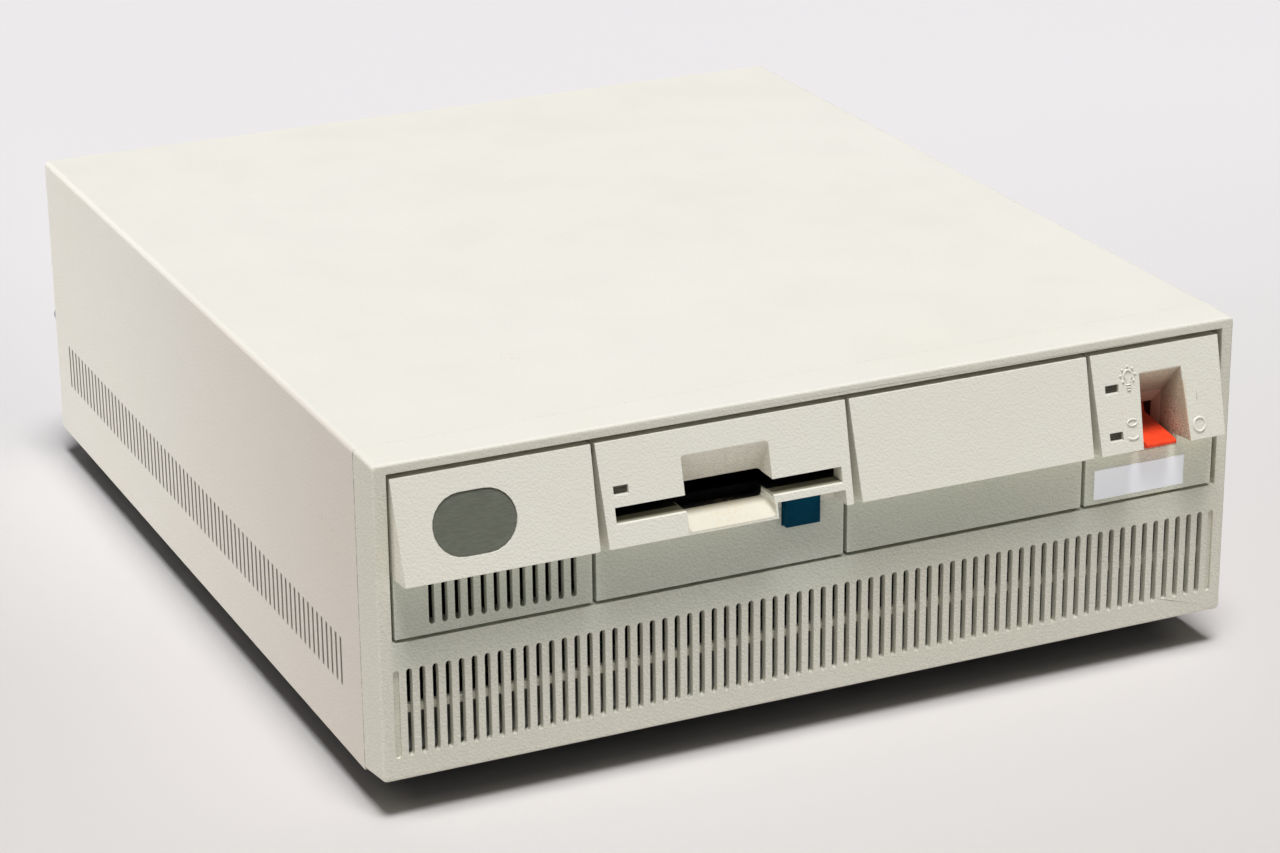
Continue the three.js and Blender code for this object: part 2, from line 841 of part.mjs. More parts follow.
function addSwitchUnit() {
  const left = switchUnitLeft;
  const throatXs = throatSpan();
  const front = -lipReach - overrun;
  const lamps = [powerLampBottom, diskLampBottom].map((bottom) => lampHole(left + switchLampInset, bottom));
  const keep = block(switchUnitSpan, [front, unitDepth + overrun], [unitBottom, unitTop]);
  const opening = solid(switchFunnel()).intersect(solid(keep));
  const lowerPanel = block(throatXs, [front, -fit / 2], [unitBottom, funnelFloor + fit]);
  const body = cut(unitBody(switchUnitSpan), [...lamps, lowerPanel]).subtract(opening);
  add('switch_bezel', body, 'cream');
  addLamp('power_lamp', left + switchLampInset, powerLampBottom);
  addLamp('disk_lamp', left + switchLampInset, diskLampBottom);
  const labelXs = [left + labelInset, left + labelInset + labelWidth];
  const labelYs = [-labelGap - labelThickness, -labelGap];
  const labelBottom = unitBottom + labelRise;
  add('unit_label', block(labelXs, labelYs, [labelBottom, labelBottom + labelHeight]), 'label');
}

// Switch housing behind the switch unit: the end of the funnel and a cradle for the paddle
function addSwitchHousing() {
  const xs = [switchUnitSpan[0] + housingSideGap, switchUnitSpan[1]];
  const ys = [moduleFront, supplyFront - fit];
  const zs = [unitBottom, unitTop - unitWall];
  const shell = cut(solid(block(xs, ys, zs)), [
    block([xs[0] + housingWall, xs[1] - housingWall], [ys[0] + housingWall, ys[1] + overrun],
      [zs[0] + housingWall, zs[1] - housingWall]),
  ]);
  const cavityXs = throatSpan();
  const cradleXs = [cavityXs[0] - cradleWall, cavityXs[1] + cradleWall];
  const cradleEnd = paddlePivotDepth + paddlePinRadius + cradleWall;
  const cradleZs = [zs[0] + fit, paddlePivotHeight + paddleDrumRadius + cradleWall];
  const cradle = block(cradleXs, [ys[0], cradleEnd], cradleZs);
  const cavityZs = around(paddlePivotHeight, 2 * (paddleDrumRadius + paddleDrumPlay));
  const cavity = block(cavityXs, [funnelDepth, cradleEnd + overrun], cavityZs);
  const pinEnd = paddlePinLength + fit;
  const pin = rodX(paddlePinRadius + fit, [cavityXs[0] - pinEnd, cavityXs[1] + pinEnd],
    paddlePivotDepth, paddlePivotHeight, smallSides);
  const body = cut(shell.add(solid(cradle)), [switchFunnel(), cavity, pin]);
  add('switch_housing', body, 'tray');
}

// Paddle: a lever on a drum, drawn about its pivot
function addPaddle() {
  const centre = switchUnitLeft + funnelInset + funnelWidth / 2;
  const xs = around(centre, paddleWidth);
  const pivot = [paddlePivotDepth, paddlePivotHeight];
  const drum = rodX(paddleDrumRadius, xs, pivot[0], pivot[1]);
  const half = paddleTipThickness / 2;
  const lever = new THREE.Shape();
  const tip = [half - paddleReach, paddleTipBottom + half];
  lever.moveTo(pivot[0], paddleRootTop);
  lever.lineTo(pivot[0] - paddleDrumRadius, paddleRootTop);
  lever.absarc(tip[0], tip[1], half, quarterTurn, 3 * quarterTurn, false);
  lever.lineTo(pivot[0] - paddleDrumRadius, paddleRootBottom);
  lever.lineTo(pivot[0], paddleRootBottom);
  const throatXs = throatSpan();
  const pins = rodX(paddlePinRadius, [throatXs[0] - paddlePinLength, throatXs[1] + paddlePinLength],
    pivot[0], pivot[1], smallSides);
  add('power_paddle', joined([drum, alongX(lever, xs, slotEndSteps), pins]), 'red');
}

// Diskette drive

function driveSpan() {
  return [disketteUnitSpan[0] + driveSideGap, disketteUnitSpan[1] - driveSideGap];
}

function mouthSpan() {
  const left = disketteUnitLeft + mouthInset;
  return [left, left + mouthWidth];
}

function addDrive() {
  const xs = driveSpan();
  const faceYs = [moduleFront, moduleFront + faceplateThickness];
  const mouth = block(mouthSpan(), [faceYs[0] - overrun, faceYs[1] + overrun], [mouthFloor, mouthTop]);
  const holeZs = [buttonBottom - buttonPlay, buttonTop + buttonPlay];
  const hole = block(buttonSpan(buttonPlay), [faceYs[0] - overrun, faceYs[1] + overrun], holeZs);
  add('drive_faceplate', cut(solid(block(xs, faceYs, [driveBottom, driveTop])), [mouth, hole]), 'black');
  // Sheet case, open at the front, with the plate that carries the mechanism
  const start = faceYs[1] + fit;
  const end = moduleFront + driveLength;
  const outer = block(xs, [start, end], [driveBottom, driveTop]);
  const innerXs = [xs[0] + driveSheet, xs[1] - driveSheet];
  const inner = block(innerXs, [start - overrun, end - driveSheet],
    [driveBottom + driveSheet, driveTop - driveSheet]);
  const plate = block([innerXs[0] - driveSheet / 2, innerXs[1] + driveSheet / 2],
    [mechPlateStart, end - driveSheet / 2], [mechPlateHeight - mechPlateThickness, mechPlateHeight]);
  const spindleX = (xs[0] + xs[1]) / 2;
  const bore = rodZ(spindleShaftRadius + fit, spindleX, spindleDepth,
    [mechPlateHeight - mechPlateThickness - overrun, mechPlateHeight + overrun], smallSides);
  const rails = [-1, 1].map((side) => rodY(carriageRailRadius, spindleX + side * carriageRailSpread / 2,
    [carriageRest - fit - overrun, end - driveSheet / 2], mechPlateHeight + carriageHeight / 2, smallSides));
  const postTop = mechPlateHeight + carriageHeight / 2 + carriageRailRadius;
  const railPost = block(around(spindleX, railPostWidth),
    [carriageRest - fit - railPostThickness, carriageRest - fit], [mechPlateHeight - fit, postTop]);
  const [flapY, flapZ] = flapAxis();
  const notches = rodX(flapPinRadius + fit, [xs[0] - overrun, xs[1] + overrun], flapY, flapZ, smallSides);
  const shell = cut(solid(outer), [inner, notches]).add(cut(solid(plate), [bore]));
  const body = [...rails, railPost].reduce((sum, next) => sum.add(solid(next)), shell);
  add('drive_case', body, 'steel');
  const hub = rodZ(spindleRadius, spindleX, spindleDepth,
    [mechPlateHeight + fit, mechPlateHeight + fit + spindleHeight]);
  const shaft = rodZ(spindleShaftRadius, spindleX, spindleDepth,
    [mechPlateHeight - mechPlateThickness, mechPlateHeight + spindleHeight], smallSides);
  add('diskette_spindle', joined([hub, shaft]), 'steel');
  const carriage = block(around(spindleX, carriageWidth), [carriageRest, carriageRest + carriageLength],
    [mechPlateHeight + fit, mechPlateHeight + carriageHeight]);
  const boreYs = [carriageRest - overrun, carriageRest + carriageLength + overrun];
  const railBores = [-1, 1].map((side) => rodY(carriageRailRadius + fit,
    spindleX + side * carriageRailSpread / 2, boreYs, mechPlateHeight + carriageHeight / 2, smallSides));
  add('head_carriage', cut(solid(carriage), railBores), 'tray');
}

// Depth and height of the flap's pins
function flapAxis() {
  return [moduleFront + faceplateThickness + fit + flapPinRadius, mouthTop + flapPinRadius + fit];
}

// Dust flap behind the mouth, hung from two pins at its top
function addFlap() {
  const mouth = mouthSpan();
  const xs = [mouth[0] + fit, mouth[1] - fit];
  const [y, z] = flapAxis();
  const plate = block(xs, around(y, flapThickness), [mouthFloor + fit, z]);
  const drive = driveSpan();
  const pin = rodX(flapPinRadius, [drive[0] + fit, drive[1] - fit], y, z, smallSides);
  add('diskette_flap', joined([plate, pin]), 'black');
}

function addButton() {
  const xs = buttonSpan(0);
  const zs = [buttonBottom, buttonTop];
  const capEnd = moduleFront + faceplateThickness + fit;
  const cap = block(xs, [-buttonProud, capEnd], zs);
  const stem = block(around((xs[0] + xs[1]) / 2, stemWidth), [capEnd - fit, capEnd + stemLength],
    [buttonBottom + fit, buttonBottom + fit + stemHeight]);
  add('eject_button', joined([cap, stem]), 'blue');
}

// Front legs stand on the pan just behind its front flange
function legDepths() {
  const start = panFront + panFlangeSheet + fit;
  return [start, start + supportLeg];
}

// Drive support: shelf on legs, with the walls of the two bays and rails under the drive
function addSupport() {
  const left = disketteUnitSpan[0] - supportWall;
  const right = blankUnitSpan[1] + supportWall / 2;
  const wallXs = [
    [left, disketteUnitSpan[0] + driveSideGap - fit],
    [disketteUnitSpan[1] - fit, blankUnitSpan[0] + fit],
    [blankUnitSpan[1] - supportWall / 2, right],
  ];
  const shelfZs = [shelfTop - shelfThickness, shelfTop];
  const shelf = block([left, right], [moduleFront, moduleFront + shelfLength], shelfZs);
  const walls = wallXs.map((xs) => block(xs, [moduleFront, moduleFront + supportWallLength],
    [shelfTop - fit, supportWallTop]));
  const drive = driveSpan();
  const railXs = [[wallXs[0][0], drive[0] + driveRail], [drive[1] - driveRail, wallXs[1][1]]];
  const rails = railXs.map((xs) => block(xs, [moduleFront, moduleFront + supportWallLength],
    [shelfTop - fit, driveBottom - fit]));
  const legXs = [[left, left + supportLeg], [right - supportLeg, right]];
  const legYs = [legDepths(), [moduleFront + shelfLength - supportLeg, moduleFront + shelfLength]];
  const legs = legXs.flatMap((xs) => legYs.map((ys) => block(xs, ys, [panTop + fit, shelfTop - fit])));
  add('drive_support', joined([shelf, ...walls, ...rails, ...legs]), 'tray');
}

function supportLegHoles() {
  const left = disketteUnitSpan[0] - supportWall;
  const right = blankUnitSpan[1] + supportWall / 2;
  const y = moduleFront + shelfLength - supportLeg;
  const ys = [y - legClearance, y + supportLeg + legClearance];
  const zs = [boardBottom - overrun, boardTop + overrun];
  return [[left, left + supportLeg], [right - supportLeg, right]].map(([from, to]) => block(
    [from - legClearance, to + legClearance], ys, zs));
}

function addFixedDisk() {
  const right = blankUnitSpan[1] - supportWall;
  const xs = [right - fixedDiskLength, right];
  const back = moduleFront + shelfLength - fixedDiskSetback;
  const ys = [back - fixedDiskWidth, back];
  const top = shelfTop + fit + fixedDiskHeight;
  const body = block(xs, ys, [shelfTop + fit, top]);
  const lid = block([xs[0] + fixedDiskLidInset, xs[1] - fixedDiskLidInset],
    [ys[0] + fixedDiskLidInset, ys[1] - fixedDiskLidInset], [top - fit, top + fixedDiskLidHeight]);
  add('fixed_disk', joined([body, lid]), 'steel');
  const riserX = around(blankUnitSpan[0], riserWidth);
  const riserFront = moduleFront + shelfLength + riserSetback;
  const riserYs = [riserFront, riserFront + riserThickness];
  add('drive_riser', block(riserX, riserYs, [boardTop + fit, shelfTop + fixedDiskHeight / 2]), 'board');
}

// Base pan, rear panel, feet

function addPan() {
  const ys = [panFront, rearSeat];
  const floor = block([-panHalf, panHalf], ys, [panBottom, panTop]);
  const top = panTop + panFlangeHeight;
  const flanges = [
    block([-panHalf, panFlangeSheet - panHalf], ys, [panBottom, top]),
    block([panHalf - panFlangeSheet, panHalf], ys, [panBottom, top]),
    block([-panHalf, panHalf], [panFront, panFront + panFlangeSheet], [panBottom, panTop + panFrontHeight]),
  ];
  const bossZs = [panTop - fit, boardBottom - fit];
  const bosses = bossPlaces().map(([x, y]) => rodZ(bossRadius, x, y, bossZs, bossSides));
  add('base_pan', joined([floor, ...flanges, ...bosses]), 'pan');
}

function bossPlaces() {
  const xs = [boardLeft + bossInset, (boardLeft + boardRight) / 2, boardRight - bossInset];
  const ys = [boardFront + bossInset, (boardFront + boardRear) / 2, boardRear - bossInset];
  return xs.flatMap((x) => ys.map((y) => [x, y]));
}

function slotX(i) {
  return slotFirstInset - panHalf + i * slotPitch;
}

function addRearPanel() {
  const zs = [panBottom, roofUnderside - fit];
  const ys = [rearInner, caseDepth];
  const cutYs = [rearInner - overrun, caseDepth + overrun];
  const holes = [];
  for (let i = 0; i < slotCount; i += 1) {
    holes.push(block(around(slotX(i), slotOpeningWidth), cutYs, [slotOpeningBottom, slotOpeningTop]));
  }
  for (const port of ports()) {
    holes.push(block(around(port.x, port.width + fit * 2), cutYs, port.windowZs));
  }
  const supplyXs = supplySpan();
  holes.push(block([supplyXs[0] + supplyWindowMargin, supplyXs[1] - supplyWindowMargin], cutYs,
    [panTop + supplyWindowMargin, supplyTop - supplyWindowMargin]));
  holes.push(rodY(keySleeveRadius + fit, keylockX, cutYs, keylockHeight));
  for (const side of [-1, 1]) {
    const inner = side * (screwX - screwBore);
    const outer = side * (panHalf + overrun);
    const xs = side > 0 ? [inner, outer] : [outer, inner];
    holes.push(block(xs, cutYs, around(screwHeight, screwBore * 2)));
  }
  const radius = coverInnerRadius + fit;
  const corner = panHalf - radius;
  const shape = new THREE.Shape();
  shape.moveTo(-panHalf, zs[0]);
  shape.lineTo(panHalf, zs[0]);
  shape.absarc(corner, zs[1] - radius, radius, 0, quarterTurn, false);
  shape.absarc(-corner, zs[1] - radius, radius, quarterTurn, 2 * quarterTurn, false);
  add('rear_panel', cut(solid(alongY(shape, ys, cornerSteps)), holes), 'pan');
}

function addFeet() {
  const x = caseWidth / 2 - footInsetX;
  const places = [
    [-x, panFront + footInsetY],
    [x, panFront + footInsetY],
    [-x, rearSeat - footInsetY],
    [x, rearSeat - footInsetY],
  ];
  places.forEach(([footX, footY], i) => {
    const foot = new THREE.CylinderGeometry(footTopRadius, footRadius, caseBottom, footSides);
    foot.rotateX(quarterTurn).translate(footX, footY, caseBottom / 2);
    add(`foot_${i + 1}`, foot, 'rubber');
  });
}

// System board

function addSystemBoard() {
  const zs = [boardBottom, boardTop];
  const board = cut(solid(block([boardLeft, boardRight], [boardFront, boardRear], zs)), supportLegHoles());
  const chips = [];
  for (let i = 0; i < chipRowCount; i += 1) {
    const y = chipRowStart + i * chipRowPitch;
    for (const x of [boardRight - chipRowInset, boardRight - chipRowInset - chipRowGap]) {
      chips.push(block(around(x, chipRowLength), [y, y + chipRowWidth],
        [boardTop - fit, boardTop + chipThickness]));
    }
  }
  add('system_board', chips.reduce((sum, chip) => sum.add(solid(chip)), board), 'board');
  const chipZs = [boardTop + fit, boardTop + fit + chipThickness];
  const chipYs = around(processorDepth, processorSide);
  add('processor', block(around(boardRight - processorInset, processorSide), chipYs, chipZs), 'chip');
  for (let i = 0; i < 2; i += 1) {
    const ys = around(moduleDepth + i * modulePitch, moduleThickness);
    const zsModule = [boardTop + fit, boardTop + fit + moduleHeight];
    const moduleXs = around(boardLeft + moduleInset, moduleLength);
    add(`memory_module_${i + 1}`, block(moduleXs, ys, zsModule), 'board');
  }
}

function addExpansion() {
  const connectorEnd = rearSeat - connectorRearGap;
  const ys = [connectorEnd - connectorLength, connectorEnd];
  const base = boardTop + fit;
  const top = base + connectorHeight;
  for (let i = 0; i < slotCount; i += 1) {
    const x = slotX(i);
    const groove = block(around(x, connectorGroove), [ys[0] + connectorGroove, ys[1] - connectorGroove],
      [top - connectorGrooveDepth, top + overrun]);
    const body = solid(block(around(x, connectorWidth), ys, [base, top]));
    add(`expansion_connector_${i + 1}`, cut(body, [groove]), 'chip');
  }
  for (let i = 0; i < slotCount - 1; i += 1) {
    add(`slot_cover_${i + 1}`, slotCover(slotX(i)), 'steel');
  }
  const x = slotX(slotCount - 1);
  const heel = top - connectorGrooveDepth + fit;
  const cardYs = [cardFront, rearSeat - slotCoverSheet];
  const sheetYs = [cardYs[0], cardYs[1] + fit];
  const sheet = block(around(x, cardThickness), sheetYs, [top + fit, top + fit + cardHeight]);
  const edge = block(around(x, cardThickness), [ys[0] + connectorGroove + fit, ys[1] - connectorGroove - fit],
    [heel, top + fit + cardHeelDepth]);
  const chips = [0, 1, 2].map((k) => {
    const y = cardYs[0] + cardChipStart + k * cardChipPitch;
    return block([x - cardThickness / 2 - cardChipHeight, x], [y, y + cardChipSide],
      around(top + cardHeight / 2, cardChipSide));
  });
  const card = joined([sheet, edge, ...chips]).add(slotCover(x));
  add('disk_adapter_card', card, 'board');
}

// Plate behind a slot opening, with a raised field that fills the opening
function slotCover(x) {
  const plateYs = [rearSeat - slotCoverSheet, rearSeat];
  const plate = block(around(x, slotOpeningWidth + slotCoverMargin * 2), plateYs,
    [slotOpeningBottom - slotCoverMargin, slotOpeningTop + slotCoverMargin]);
  const field = block(around(x, slotOpeningWidth - fit * 2), [rearSeat - fit, caseDepth],
    [slotOpeningBottom + fit, slotOpeningTop - fit]);
  return joined([plate, field]);
}

// Ports

function ports() {
  const base = boardTop + portFloorGap;
  const centre = base + portBodyHeight / 2;
  const flatZs = around(centre, portShellHeight + fit * 2);
  const flat = { round: false, hasPins: false, base, centre, windowZs: flatZs };
  const roundZs = around(centre, roundPortNose + fit * 2);
  const round = { round: true, base, centre, width: roundPortNose, windowZs: roundZs };
  return [
    { name: 'video_port', x: boardRight - videoPortInset, width: videoPortWidth, ...flat },
    { name: 'keyboard_port', x: boardRight - keyboardPortInset, ...round },
    { name: 'pointer_port', x: boardRight - pointerPortInset, ...round },
    { name: 'parallel_port', x: boardRight - parallelPortInset, width: parallelPortWidth, ...flat },
    { name: 'serial_port', x: boardRight - serialPortInset, width: serialPortWidth, ...flat, hasPins: true },
  ];
}

// Outline of a port's slanted shell, set in from its edges by a wall
function shellShape(port, wall) {
  const top = port.width / 2 - wall;
  const foot = top - portShellTaper;
  const low = port.centre - portShellHeight / 2 + wall;
  const high = port.centre + portShellHeight / 2 - wall;
  return outline([[port.x - foot, low], [port.x + foot, low], [port.x + top, high], [port.x - top, high]]);
}

function addPorts() {
  const front = rearSeat - portBodyDepth;
  const reach = caseDepth + portReach;
  for (const port of ports()) {
    const bodyWidth = port.round ? roundPortWidth : port.width + portFlange * 2;
    const bodyZs = [port.base, port.base + portBodyHeight];
    const body = block(around(port.x, bodyWidth), [front, rearSeat], bodyZs);
    if (port.round) {
      const noseYs = [rearSeat - fit, caseDepth];
      const nose = block(around(port.x, port.width), noseYs, around(port.centre, port.width));
      const boreYs = [caseDepth - portSocketDepth, caseDepth + overrun];
      add(port.name, cut(joined([body, nose]), [rodY(roundPortBore, port.x, boreYs, port.centre)]), 'chip');
    } else {
      const shell = alongY(shellShape(port, 0), [rearSeat - fit, reach], 1);
      const well = alongY(shellShape(port, portShellWall), [reach - portSocketDepth, reach + overrun], 1);
      const whole = joined([body, shell]);
      add(port.name, port.hasPins ? cut(whole, [well]) : whole, 'steel');
    }
  }
}

// Fan housing with its rotor, speaker and battery

function fanCentre() {
  return [(fanUnitSpan[0] + fanUnitSpan[1]) / 2 + fanOffset, (unitBottom + unitTop) / 2];
}

// Hub with pitched blades about the Y axis, its bore open towards -Y
function rotor(radius, hubRadius, hubLength, chord) {
  const inner = hubRadius - fanBladeThickness;
  const parts = [rodY(hubRadius, 0, [0, hubLength], 0)];
  for (let i = 0; i < fanBladeCount; i += 1) {
    const blade = new THREE.BoxGeometry(radius - inner, fanBladeThickness, chord);
    blade.rotateX(fanBladePitch).translate((radius + inner) / 2, 0, 0);
    parts.push(blade.rotateY(i * 2 * Math.PI / fanBladeCount).translate(0, hubLength / 2, 0));
  }
  const bore = rodY(fanShaftRadius + fit, 0, [-overrun, hubLength - fanBladeThickness], 0, smallSides);
  return cut(joined(parts), [bore]);
}

// Three struts that meet at a boss, with the shaft that a rotor turns on
function spider([x, z], plateYs, radius, shaftYs) {
  const reach = radius + fanStrutWidth / 2;
  const parts = [0, 1, 2].map((i) => {
    const strut = new THREE.BoxGeometry(reach, fanStrutDepth, fanStrutWidth);
    strut.translate(reach / 2, 0, 0).rotateY(i * 2 * Math.PI / 3 + quarterTurn);
    return strut.translate(x, (plateYs[0] + plateYs[1]) / 2, z);
  });
  parts.push(rodY(fanBossRadius, x, plateYs, z, smallSides));
  parts.push(rodY(fanShaftRadius, x, shaftYs, z, smallSides));
  return parts;
}

function addFanHousing() {
  const xs = [fanUnitSpan[0] + fit, fanUnitSpan[1] - fit];
  const ys = [moduleFront, moduleFront + fanHousingLength];
  const zs = [unitBottom + housingBottomGap, unitTop - unitWall];
  const wall = fanHousingWall;
  const inner = block([xs[0] + wall, xs[1] - wall], [ys[0] - overrun, ys[1] - wall],
    [zs[0] + wall, zs[1] - wall]);
  const centre = fanCentre();
  const holeYs = [ys[1] - wall - overrun, ys[1] + overrun];
  const hole = rodY(fanRadius + fanTipGap, centre[0], holeYs, centre[1]);
  const shell = cut(solid(block(xs, ys, zs)), [inner, hole]);
  const plateYs = [ys[1] - fanStrutDepth, ys[1]];
  const hubBack = plateYs[0] - fanHubGap;
  const shaftYs = [hubBack - fanHubLength + fanBladeThickness + fit, plateYs[0] + fit];
  const parts = spider(centre, plateYs, fanRadius + fanTipGap, shaftYs);
  const legPlaces = [[xs[0], xs[0] + supportLeg], [xs[1] - supportLeg, xs[1]]];
  const legs = legPlaces.map((legXs) => block(legXs, legDepths(), [panTop + fit, zs[0] + fit]));
  add('fan_housing', [...parts, ...legs].reduce((sum, next) => sum.add(solid(next)), shell), 'tray');
  // The rotor's bore faces back, so it is turned half round
  const fan = add('fan_rotor', rotor(fanRadius, fanHubRadius, fanHubLength, fanBladeChord), 'black');
  fan.rotation.z = Math.PI;
  fan.position.set(centre[0], hubBack, centre[1]);
  // Speaker on the left wall, facing right, and battery under the roof
  const speakerX = xs[0] + wall + fit;
  const speakerY = ys[0] + speakerInset;
  const magnet = rodX(speakerNeckRadius, [speakerX, speakerX + speakerDepth], speakerY, centre[1]);
  const rim = rodX(speakerRadius, [speakerX + speakerDepth - speakerRimDepth, speakerX + speakerDepth],
    speakerY, centre[1]);
  add('speaker', joined([magnet, rim]), 'black');
  const batteryZ = zs[1] - wall - fit - batteryRadius;
  const batteryLeft = speakerX + speakerDepth + batteryInset;
  const batteryXs = [batteryLeft, batteryLeft + batteryLength];
  add('battery', rodX(batteryRadius, batteryXs, ys[0] + batteryDepth, batteryZ), 'cell');
}

// Power supply

function supplySpan() {
  return [supplyLeft, coverInner - lugThickness - supplySideGap];
}

function addSupply() {
  const xs = supplySpan();
  const ys = [supplyFront, rearSeat];
  const zs = [panTop + fit, supplyTop];
  const t = supplySheet;
  const inner = block([xs[0] + t, xs[1] - t], [ys[0] + t, ys[1] - t], [zs[0] + t, zs[1] + overrun]);
  const centreX = (xs[0] + xs[1]) / 2;
  const wallYs = [ys[1] - t - overrun, ys[1] + overrun];
  const guard = [];
  for (let i = 0; i < guardSlotCount; i += 1) {
    const offset = (i - (guardSlotCount - 1) / 2) * guardSlotPitch;
    const half = Math.sqrt(guardRadius ** 2 - offset ** 2);
    const ends = [supplyFanHeight - half, supplyFanHeight + half];
    guard.push(alongY(slotShape(centreX + offset, guardSlotWidth, ...ends), wallYs, ventEndSteps));
  }
  const inletXs = around(centreX, inletWidth + fit * 2);
  const inletHole = block(inletXs, wallYs, around(inletCentre, inletHeight + fit * 2));
  add('supply_case', cut(solid(block(xs, ys, zs)), [inner, inletHole, ...guard]), 'steel');
  add('supply_lid', block(xs, ys, [supplyTop + fit, supplyTop + fit + t]), 'steel');
  addInlet(centreX, ys[1]);
  addSupplyFan(centreX, ys[1] - t - fit);
  addSupplyBoard(xs, zs[0] + t);
}

function addInlet(x, rear) {
  const ys = [rear - inletDepth, caseDepth - fit];
  const body = block(around(x, inletWidth), ys, around(inletCentre, inletHeight));
  const mouth = block(around(x, inletMouthWidth), [caseDepth - inletMouthDepth, caseDepth + overrun],
    around(inletCentre, inletMouthHeight));
  const pins = [-1, 0, 1].map((side) => block(around(x + side * inletPinSpread, inletPinThickness),
    [caseDepth - inletMouthDepth - fit, caseDepth - inletMouthDepth + inletPinLength],
    around(inletCentre + (side === 0 ? inletPinRise : -inletPinRise), inletPinWidth)));
  const well = cut(solid(body), [mouth]);
  add('power_inlet', pins.reduce((sum, pin) => sum.add(solid(pin)), well), 'chip');
}

function addSupplyFan(x, rear) {
  const centre = [x, supplyFanHeight];
  const ys = [rear - supplyFanDepth, rear];
  const frame = block(around(x, supplyFanSide), ys, around(supplyFanHeight, supplyFanSide));
  const bore = rodY(supplyFanRadius + fanTipGap, x, [ys[0] - overrun, ys[1] + overrun], supplyFanHeight);
  const plateYs = [ys[0], ys[0] + fanStrutDepth];
  const hubFront = plateYs[1] + fanHubGap;
  const shaftYs = [plateYs[1] - fit, hubFront + supplyHubLength - fanBladeThickness - fit];
  const parts = spider(centre, plateYs, supplyFanRadius + fanTipGap, shaftYs);
  const body = parts.reduce((sum, next) => sum.add(solid(next)), cut(solid(frame), [bore]));
  add('supply_fan_frame', body, 'black');
  const turning = rotor(supplyFanRadius, supplyHubRadius, supplyHubLength, supplyBladeChord);
  const fan = add('supply_fan_rotor', turning, 'black');
  fan.position.set(centre[0], hubFront, centre[1]);
}

function addSupplyBoard(xs, floor) {
  const boardXs = [xs[0] + supplySheet + supplyBoardLift, xs[1] - supplySheet - supplyBoardLift];
  const ys = [supplyFront + supplyBoardStart, rearSeat - supplyBoardRearGap];
  const base = floor + supplyBoardLift;
  const top = base + boardThickness;
  const parts = [block(boardXs, ys, [base, top])];
  for (const x of [boardXs[0] + bossRadius, boardXs[1] - bossRadius]) {
    for (const y of [ys[0] + bossInset, ys[1] - bossInset]) {
      parts.push(rodZ(bossRadius, x, y, [floor + fit, base + fit], bossSides));
    }
  }
  const middle = (boardXs[0] + boardXs[1]) / 2;
  const transformerYs = [ys[0] + transformerStart, ys[0] + transformerStart + transformerSide];
  parts.push(block(around(middle, transformerSide), transformerYs, [top - fit, top + transformerHeight]));
  for (const y of [ys[1] - capacitorInset, ys[1] - capacitorInset - capacitorPitch]) {
    parts.push(rodZ(capacitorRadius, middle, y, [top - fit, top + capacitorHeight]));
  }
  const sinkYs = [ys[0] + sinkStart, ys[0] + sinkStart + sinkLength];
  for (const x of [boardXs[0] + sinkThickness, boardXs[1] - sinkThickness]) {
    parts.push(block(around(x, sinkThickness), sinkYs, [top - fit, top + sinkHeight]));
  }
  add('supply_board', joined(parts), 'board');
}

// Keylock and cover screws

function addKeylock() {
  const bore = keyBarrelRadius + fit;
  const back = caseDepth + fit;
  const flangeEnd = back + keyFlangeThickness;
  const start = back - keySleeveLength;
  const profile = [
    [bore, start], [keySleeveRadius, start], [keySleeveRadius, back], [keyFlangeRadius, back],
    [keyFlangeRadius, flangeEnd], [bore, flangeEnd], [bore, start],
  ].map(([r, y]) => new THREE.Vector2(r, y));
  const sleeve = new THREE.LatheGeometry(profile, roundSides).translate(keylockX, 0, keylockHeight);
  add('keylock_sleeve', solid(sleeve), 'steel');
  const barrel = rodY(keyBarrelRadius, keylockX, [start - camThickness, flangeEnd - fit], keylockHeight);
  const cam = block(around(keylockX, camWidth), [start - fit - camThickness, start - fit],
    [keylockHeight - camReach, keylockHeight]);
  const slot = block(around(keylockX, keySlotWidth), [flangeEnd - keySlotDepth, flangeEnd + overrun],
    around(keylockHeight, keySlotHeight));
  add('keylock_barrel', cut(joined([barrel, cam]), [slot]), 'brass');
}

function addScrews() {
  for (const [name, side] of [['cover_screw_left', -1], ['cover_screw_right', 1]]) {
    const x = side * screwX;
    const seat = caseDepth + fit;
    const shank = rodY(screwRadius, x, [seat - screwLength, seat + fit], screwHeight, smallSides);
    const head = rodY(screwHeadRadius, x, [seat, seat + screwHeadLength], screwHeight);
    const slot = block(around(x, screwSlotWidth),
      [seat + screwHeadLength - screwSlotDepth, seat + screwHeadLength + overrun],
      around(screwHeight, screwHeadRadius * 2 + overrun));
    add(name, cut(joined([shank, head]), [slot]), 'steel');
  }
}

addCover();
addFrame();
addFanUnit();
addDisketteUnit();
addBlankUnit();
addSwitchUnit();
addSwitchHousing();
addPaddle();
addDrive();
addFlap();
addButton();
addSupport();
addFixedDisk();
addPan();
addRearPanel();
addFeet();
addSystemBoard();
addExpansion();
addPorts();
addFanHousing();
addSupply();
addKeylock();
addScrews();

// The part's origin is under the middle of the whole, on the table
group.position.y = (lipReach - rearMost) / 2;

export default group;
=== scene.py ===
# Looks of a vintage home computer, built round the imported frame. Metres, X right, Y back, Z up.
import json
import math

